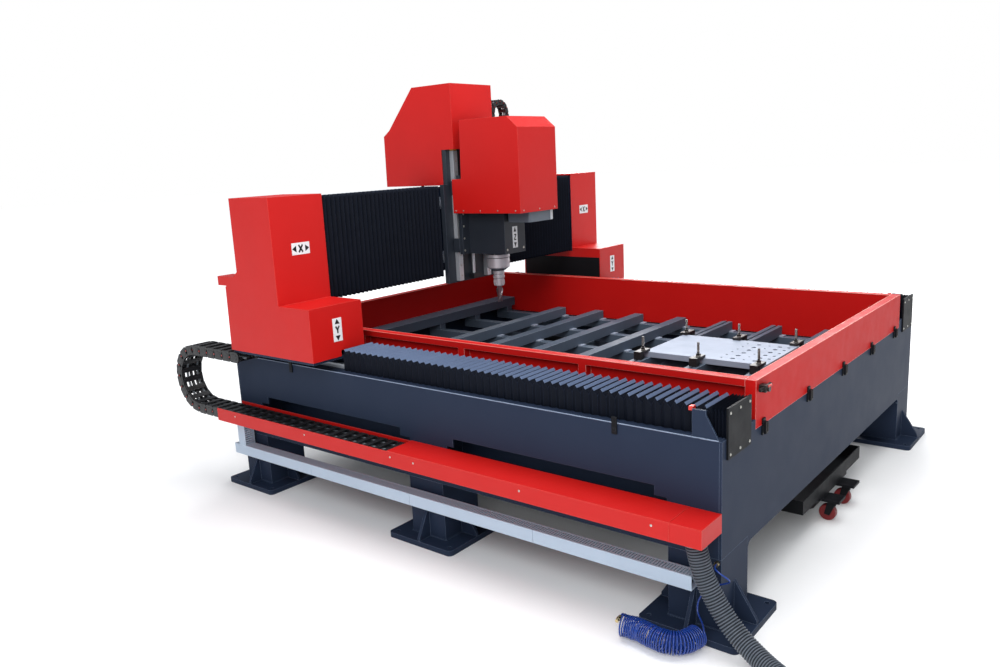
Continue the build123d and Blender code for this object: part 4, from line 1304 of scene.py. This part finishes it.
# ---- head ------------------------------------------------------------------------------------
@dataclass
class Head:
    """Details of the saddle, carriage, spindle nose and tool."""

    x: float = -20
    spindle_y: float = 1955
    hood: Range = (-195, 155)
    hood_front: float = 1640
    hood_low: float = 1397

    def nose(self) -> None:
        """Make the turned spindle nose with its ring of screws."""
        work = Fabric()
        profile = ((1054.5, 31), (1054.5, 40), (1057, 42), (1069, 61), (1072, 64), (1072.1, 67),
                   (1127, 67), (1127.1, 64.5), (1131, 64.5), (1131.1, 69), (1149, 69), (1149.1, 57),
                   (1157.5, 57), (1157.5, 40))
        work.turned((self.x, self.spindle_y), profile, 64)
        work.tone = 1
        screws, pitch_radius, seat = 8, 63, 1149
        for k in range(screws):
            t = 2 * math.pi * (k + 0.5) / screws
            place = (self.x + pitch_radius * math.cos(t), self.spindle_y + pitch_radius * math.sin(t), seat)
            screw(work, place, (0, 0, 1), 3.4, 6)
        work.make("spindle_nose", [TURNED, ZINC], "carriage", "ground_steel", bevel=0.5, smooth=True)

    def tool(self) -> None:
        """Make the collet chuck and the fluted cutter."""
        work = Fabric()
        cx, cy = self.x, self.spindle_y
        profile = ((962, 18), (962.1, 27), (965, 30), (1000, 30), (1000.1, 27), (1006, 27), (1006.1, 32),
                   (1008, 33.5), (1021, 33.5), (1023, 30), (1030, 30), (1032, 33.5), (1050, 33.5), (1053, 31),
                   (1053, 20))
        work.turned((cx, cy), profile, 64)
        notches, ring, half = 6, 29.5, 2.5
        for k in range(notches):
            t = 2 * math.pi * k / notches
            x, y = cx + ring * math.cos(t), cy + ring * math.sin(t)
            work.block((x - half, x + half), (y - half, y + half), (972, 996))
        work.tone = 1
        work.turned((cx, cy), ((866, 6), (868, 13), (962, 15), (962, 6)), 32)
        tip, flute_tall, twist, steps = 866, 80, 2.6, 32
        tooth = ((11, -0.7), (19.2, -0.2), (19.8, 0.05), (17, 0.5), (11, 1.1))    # radius and angle
        for start in (0.0, math.pi):
            rows = [(tip + flute_tall * k / steps, start + twist * k / steps) for k in range(steps + 1)]
            points = [(cx + r * math.cos(t + lag), cy + r * math.sin(t + lag), z)
                      for z, t in rows for r, lag in tooth]
            work.add(points, wrapped_faces(len(rows), len(tooth)))
        piece = work.make("collet_chuck_and_cutter", [TURNED, CARBIDE], "tool", "tool_steel", smooth=True)
        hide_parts("tool_holder")

    def hood_screws(self) -> None:
        """Make the screws along the hood's lower edge and back edge."""
        work = Fabric()
        z = self.hood_low + 14
        for y in (1675, 1800, 1925, 2050, 2105):
            screw(work, (self.hood[0] - 0.2, y, z), (-1, 0, 0), 3.2, 2)
            screw(work, (self.hood[1] + 0.2, y, z), (1, 0, 0), 3.2, 2)
        for x in (self.hood[0] + 30, self.x, self.hood[1] - 30):
            screw(work, (x, self.hood_front - 0.2, z), (0, -1, 0), 3.2, 2)
        for z in (1180, 1250, 1320, 1390, 1460):
            screw(work, (-157, 2086.8, z), (0, -1, 0), 5)
        for x in (-90, 62):
            for z in (1182, 1395):
                screw(work, (x, 1825.8, z), (0, -1, 0), 5)
        work.make("head_screws", [ZINC], "carriage", "ground_steel", smooth=True)

    def motor_cap(self) -> None:
        """Make the pale end flange of the spindle motor."""
        work = Fabric()
        work.block((100, 121), (1652, 1818), (1341, 1396.6))
        work.make("spindle_motor_flange", [JACKET_PALE], "carriage", "motor_grey", bevel=1.0)

    def saddle_details(self) -> None:
        """Make the end stops of the upright rails and the tower's screws."""
        work = Fabric()
        for side in (-1, 1):
            x = self.x + side * 126
            work.tone = 0
            work.block((x - 15, x + 15), (2134, 2159), (1751, 1772))
            work.tone = 1
            for z in range(1030, 1750, 60):
                screw(work, (x, 2131.8, z), (0, -1, 0), 4)
        work.make("saddle_stops_and_screws", [STOP_YELLOW, ZINC], "saddle", "ground_steel", smooth=True)

    def build(self) -> None:
        """Make every piece of the head."""
        self.nose()
        self.tool()
        self.hood_screws()
        self.motor_cap()
        self.saddle_details()


# ---- base ------------------------------------------------------------------------------------
@dataclass
class BaseDetails:
    """Screws, welds, cleats and small fittings on the base and the posts."""

    long_bars: tuple[float, ...] = (-905, -543, -181, 181, 543, 905)
    cross_bars: tuple[float, ...] = (340, 645, 950, 1255, 1560, 1865, 2170)

    def cleats(self) -> None:
        """Make the milled pads in front of the cross bars, where they are bolted to the long bars."""
        work = Fabric()
        for y in self.cross_bars:
            for x in self.long_bars:
                work.block((x - 24, x + 24), (y - 54, y - 30.3), (600.3, 606))
        work.make("bar_cleats", [GROUND], "base", "ground_steel", bevel=0.6)

    def tray_screws(self) -> None:
        """Make the screws of the cable tray, the end plates and the front wall."""
        work = Fabric()
        for y in (186, 753, 1321, 1462, 2050, 2620):
            screw(work, (-1444.1, y, 441), (-1, 0, 0), 3.4, 2)
        for side in (-1, 1):
            for x in (1074, 1156, 1238):
                for z in (668, 815):
                    screw(work, (side * x, -8.1, z), (0, -1, 0), 4, 3)
                    screw(work, (side * x, 2798.1, z), (0, 1, 0), 4, 3)
        work.make("base_screws", [ZINC], "base", "ground_steel", smooth=True)

    def welds(self) -> None:
        """Make the weld beads where the legs and gussets meet the foot plates."""
        seed = random.Random(3)
        work = Fabric()
        half, low, high = 116, -1, 205
        for start in LEG_STARTS:
            for side in (-1, 1):
                cx = side * 1172
                corners = [(cx - half, start + low), (cx + half, start + low),
                           (cx + half, start + high), (cx - half, start + high)]
                for a, b in zip(corners, corners[1:] + corners[:1]):
                    line = [Vector((a[0] + (b[0] - a[0]) * t, a[1] + (b[1] - a[1]) * t, 26))
                            for t in np.linspace(0, 1, 26)]
                    work.tube(line, [4.2 + seed.uniform(-0.6, 0.6) for _ in line], 8)
        work.make("weld_beads", [SLATE], "base", "slate_paint", smooth=True)

    def fittings(self) -> None:
        """Make the red stop behind the front bracket and the black clips on the side plate."""
        work = Fabric()
        for side in (-1, 1):
            work.tone = 0
            a, b = sorted((side * 1254, side * 1278))
            work.block((a, b), (112, 128), (816, 831))
            work.tone = 1
            for y in (405, 2300):
                a, b = sorted((side * (SIDE_FACE + 0.3), side * (SIDE_FACE + 7)))
                work.block((a, b), (y, y + 22), (684, 750))
                work.block((a - 1.5, b + 1.5), (y + 4, y + 18), (694, 708))
        work.make("rail_stops_and_clips", [STOP_RED, BLACK], "base", "black_paint", bevel=1.2)

    def latch_levers(self) -> None:
        """Make the blackened levers and hooks of the toggle latches."""
        work = Fabric()
        wire, y, high, low = 1.8, -17, 700, 660
        for x in (-930, -445, 22, 470, 901):
            work.bar((x - 8, y, high), (x - 8, y, low), wire, 10)
            work.bar((x + 8, y, high), (x + 8, y, low), wire, 10)
            work.bar((x - 8, y, low), (x + 8, y, low), wire, 10)
            for dx, z in ((-10, 656), (10, 656), (0, 706)):
                screw(work, (x + dx, -6.2, z), (0, -1, 0), 2.6)
        work.make("latch_levers", [OXIDE], "base", "ground_steel", smooth=True)

    def plate_edges(self) -> None:
        """Make the rounded upper edges of the side beams and the welds of the front brackets, pale as a painted
        highlight.
        """
        seed = random.Random(11)
        work = Fabric()
        for side in (-1, 1):
            x = side * 1286.4
            work.tube([Vector((x, y, 725.6)) for y in np.linspace(112, 2780, 60)], 2.2, 8)
            bead = [Vector((side * 1288.5, y, 726.5 + seed.uniform(-0.4, 0.4))) for y in np.linspace(12, 110, 24)]
            work.tube(bead, [2.6 + seed.uniform(-0.5, 0.5) for _ in bead], 8)
        work.make("side_beam_edge_highlights_and_welds", [SLATE_EDGE_HIGHLIGHT], "base", "slate_paint", smooth=True)

    def tray_rims(self) -> None:
        """Make the rolled edges of the tray's upper rim, pale and glossy as a painted highlight."""
        work = Fabric()
        for x in (-999.2, -958.6, 958.6, 999.2):
            work.tube([Vector((x, y, 869.4)) for y in np.linspace(40, 2733, 40)], 1.7, 8)
        for y in (0.8, 41.2, 2731.8, 2772.2):
            work.tube([Vector((x, y, 869.4)) for x in np.linspace(-999, 999, 40)], 1.7, 8)
        work.make("tray_rim_painted_highlights", [RED_RIM_HIGHLIGHT], "base", "red_paint", smooth=True)

    def rear_details(self) -> None:
        """Make the screws of the rear plate and the lifting eyes at the back of the base."""
        work = Fabric()
        for x in range(-1160, 1161, 290):
            for z in (330, 690):
                screw(work, (x, 2790.2, z), (0, 1, 0), 7, 5)
        for x in (-1172, 1172):
            work.tone = 1
            work.block((x - 30, x + 30), (2790.2, 2798), (560, 620))
            ring = [Vector((x + 20 * math.cos(t), 2806, 590 + 20 * math.sin(t))) for t in np.linspace(0, 6.2, 30)]
            work.tube(ring, 4.5, 10)
            work.bar((x, 2797, 570), (x, 2808, 570), 8, 16)
            work.tone = 0
        work.make("rear_plate_screws_and_eyes", [ZINC, SLATE], "base", "ground_steel", smooth=True)
        beam = Fabric()
        for x in range(-1000, 1001, 250):
            for z in (1100, 1500):
                screw(beam, (x, 2480.2, z), (0, 1, 0), 6, 4)
        beam.make("beam_rear_screws", [ZINC], "gantry", "ground_steel", smooth=True)

    def post_shade_plates(self) -> None:
        """Make black plates inside the posts, under the beam beside the way covers; their black paints the shade
        that falls there.
        """
        work = Fabric()
        for side in (-1, 1):
            a, b = sorted((side * 1096, side * 1098.8))
            work.prism([(1961, 802), (1961, 990), (2598, 990), (2598, 802)], along_x, a, b)
        work.make("post_shade_plates", [BLACK], "gantry", "black_paint", bevel=0.6)

    def tray_lid_seam(self) -> None:
        """Make the lap where the front box of the cable tray meets its lid."""
        work = Fabric()
        work.block((-1445.2, -1444.2), (118, 121), (399, 466))
        work.block((-1444, -1288), (118, 121), (468.2, 469.4))
        work.make("cable_tray_lap", [RED], "base", "red_paint", bevel=0.4)

    def air_lever(self) -> None:
        """Make the red lever of the air valve on the front wall."""
        work = Fabric()
        work.block((-983, -952), (-40, -36.3), (846, 853))
        work.bar((-960, -41, 849), (-960, -36, 849), 4, 16)
        work.make("air_valve_lever", [STOP_RED], "base", "red_paint", bevel=0.8)

    def clamp_nuts(self) -> None:
        """Make the bright washers and thread ends of the strap clamps."""
        work = Fabric()
        for y in self.cross_bars[:3]:
            for x in (-115, 378):
                work.bar((x, y, 699.2), (x, y, 701.4), 13, 24)
                for k in range(20):
                    z = 719 + k * 2.4
                    work.bar((x, y, z), (x, y, z + 1.2), 6.4, 16)
        work.make("clamp_washers_and_threads", [ZINC], "base", "ground_steel")

    def build(self) -> None:
        """Make every small piece of the base and the posts."""
        self.cleats()
        self.tray_screws()
        self.welds()
        self.fittings()
        self.latch_levers()
        self.plate_edges()
        self.tray_rims()
        self.rear_details()
        self.post_shade_plates()
        self.tray_lid_seam()
        self.air_lever()
        self.clamp_nuts()


def dress_frame() -> None:
    """Give every carried-over CAD node its finish."""
    slots = {part["node"]: part["material_slot"] for part in frame["record"]["subparts"]}
    for node, piece in frame["nodes"].items():
        finish = NODE_FINISHES.get(node, SLOT_FINISHES[slots[node]])
        piece.data.materials.clear()
        piece.data.materials.append(RACK.get(finish))
        for polygon in piece.data.polygons:
            polygon.material_index = 0


LABELS = (
    ("label_x_left", "gantry", AxisLabel(AxisLetter.X, (-1310, -1202), (1284, 1342), 2182, True)),
    ("label_x_right", "gantry", AxisLabel(AxisLetter.X, (1202, 1310), (1284, 1342), 2182, True)),
    ("label_y_left", "gantry", AxisLabel(AxisLetter.Y, (-1288, -1233), (874, 987), 1957, False)),
    ("label_y_right", "gantry", AxisLabel(AxisLetter.Y, (1233, 1288), (874, 987), 1957, False)),
    ("label_z", "carriage", AxisLabel(AxisLetter.Z, (-38, 8), (1188, 1310), 1826, False)),
)


def main() -> None:
    """Build the scene: camera and cords first, then every sub-assembly in order."""
    logging.basicConfig(level=logging.INFO, format="%(message)s")
    studio = Studio()
    studio.camera()
    Conduit().build()
    AirHose().build()
    studio.floor()
    studio.light()
    dress_frame()
    for part in (LongWayCovers(), BeamCovers(), LongChain(), HeadChain(), WiringDuct(), Head(), BaseDetails()):
        LOG.info("building %s", type(part).__name__)
        part.build()
    for name, body, label in LABELS:
        label.build(name, body)


if __name__ == "__main__":
    main()
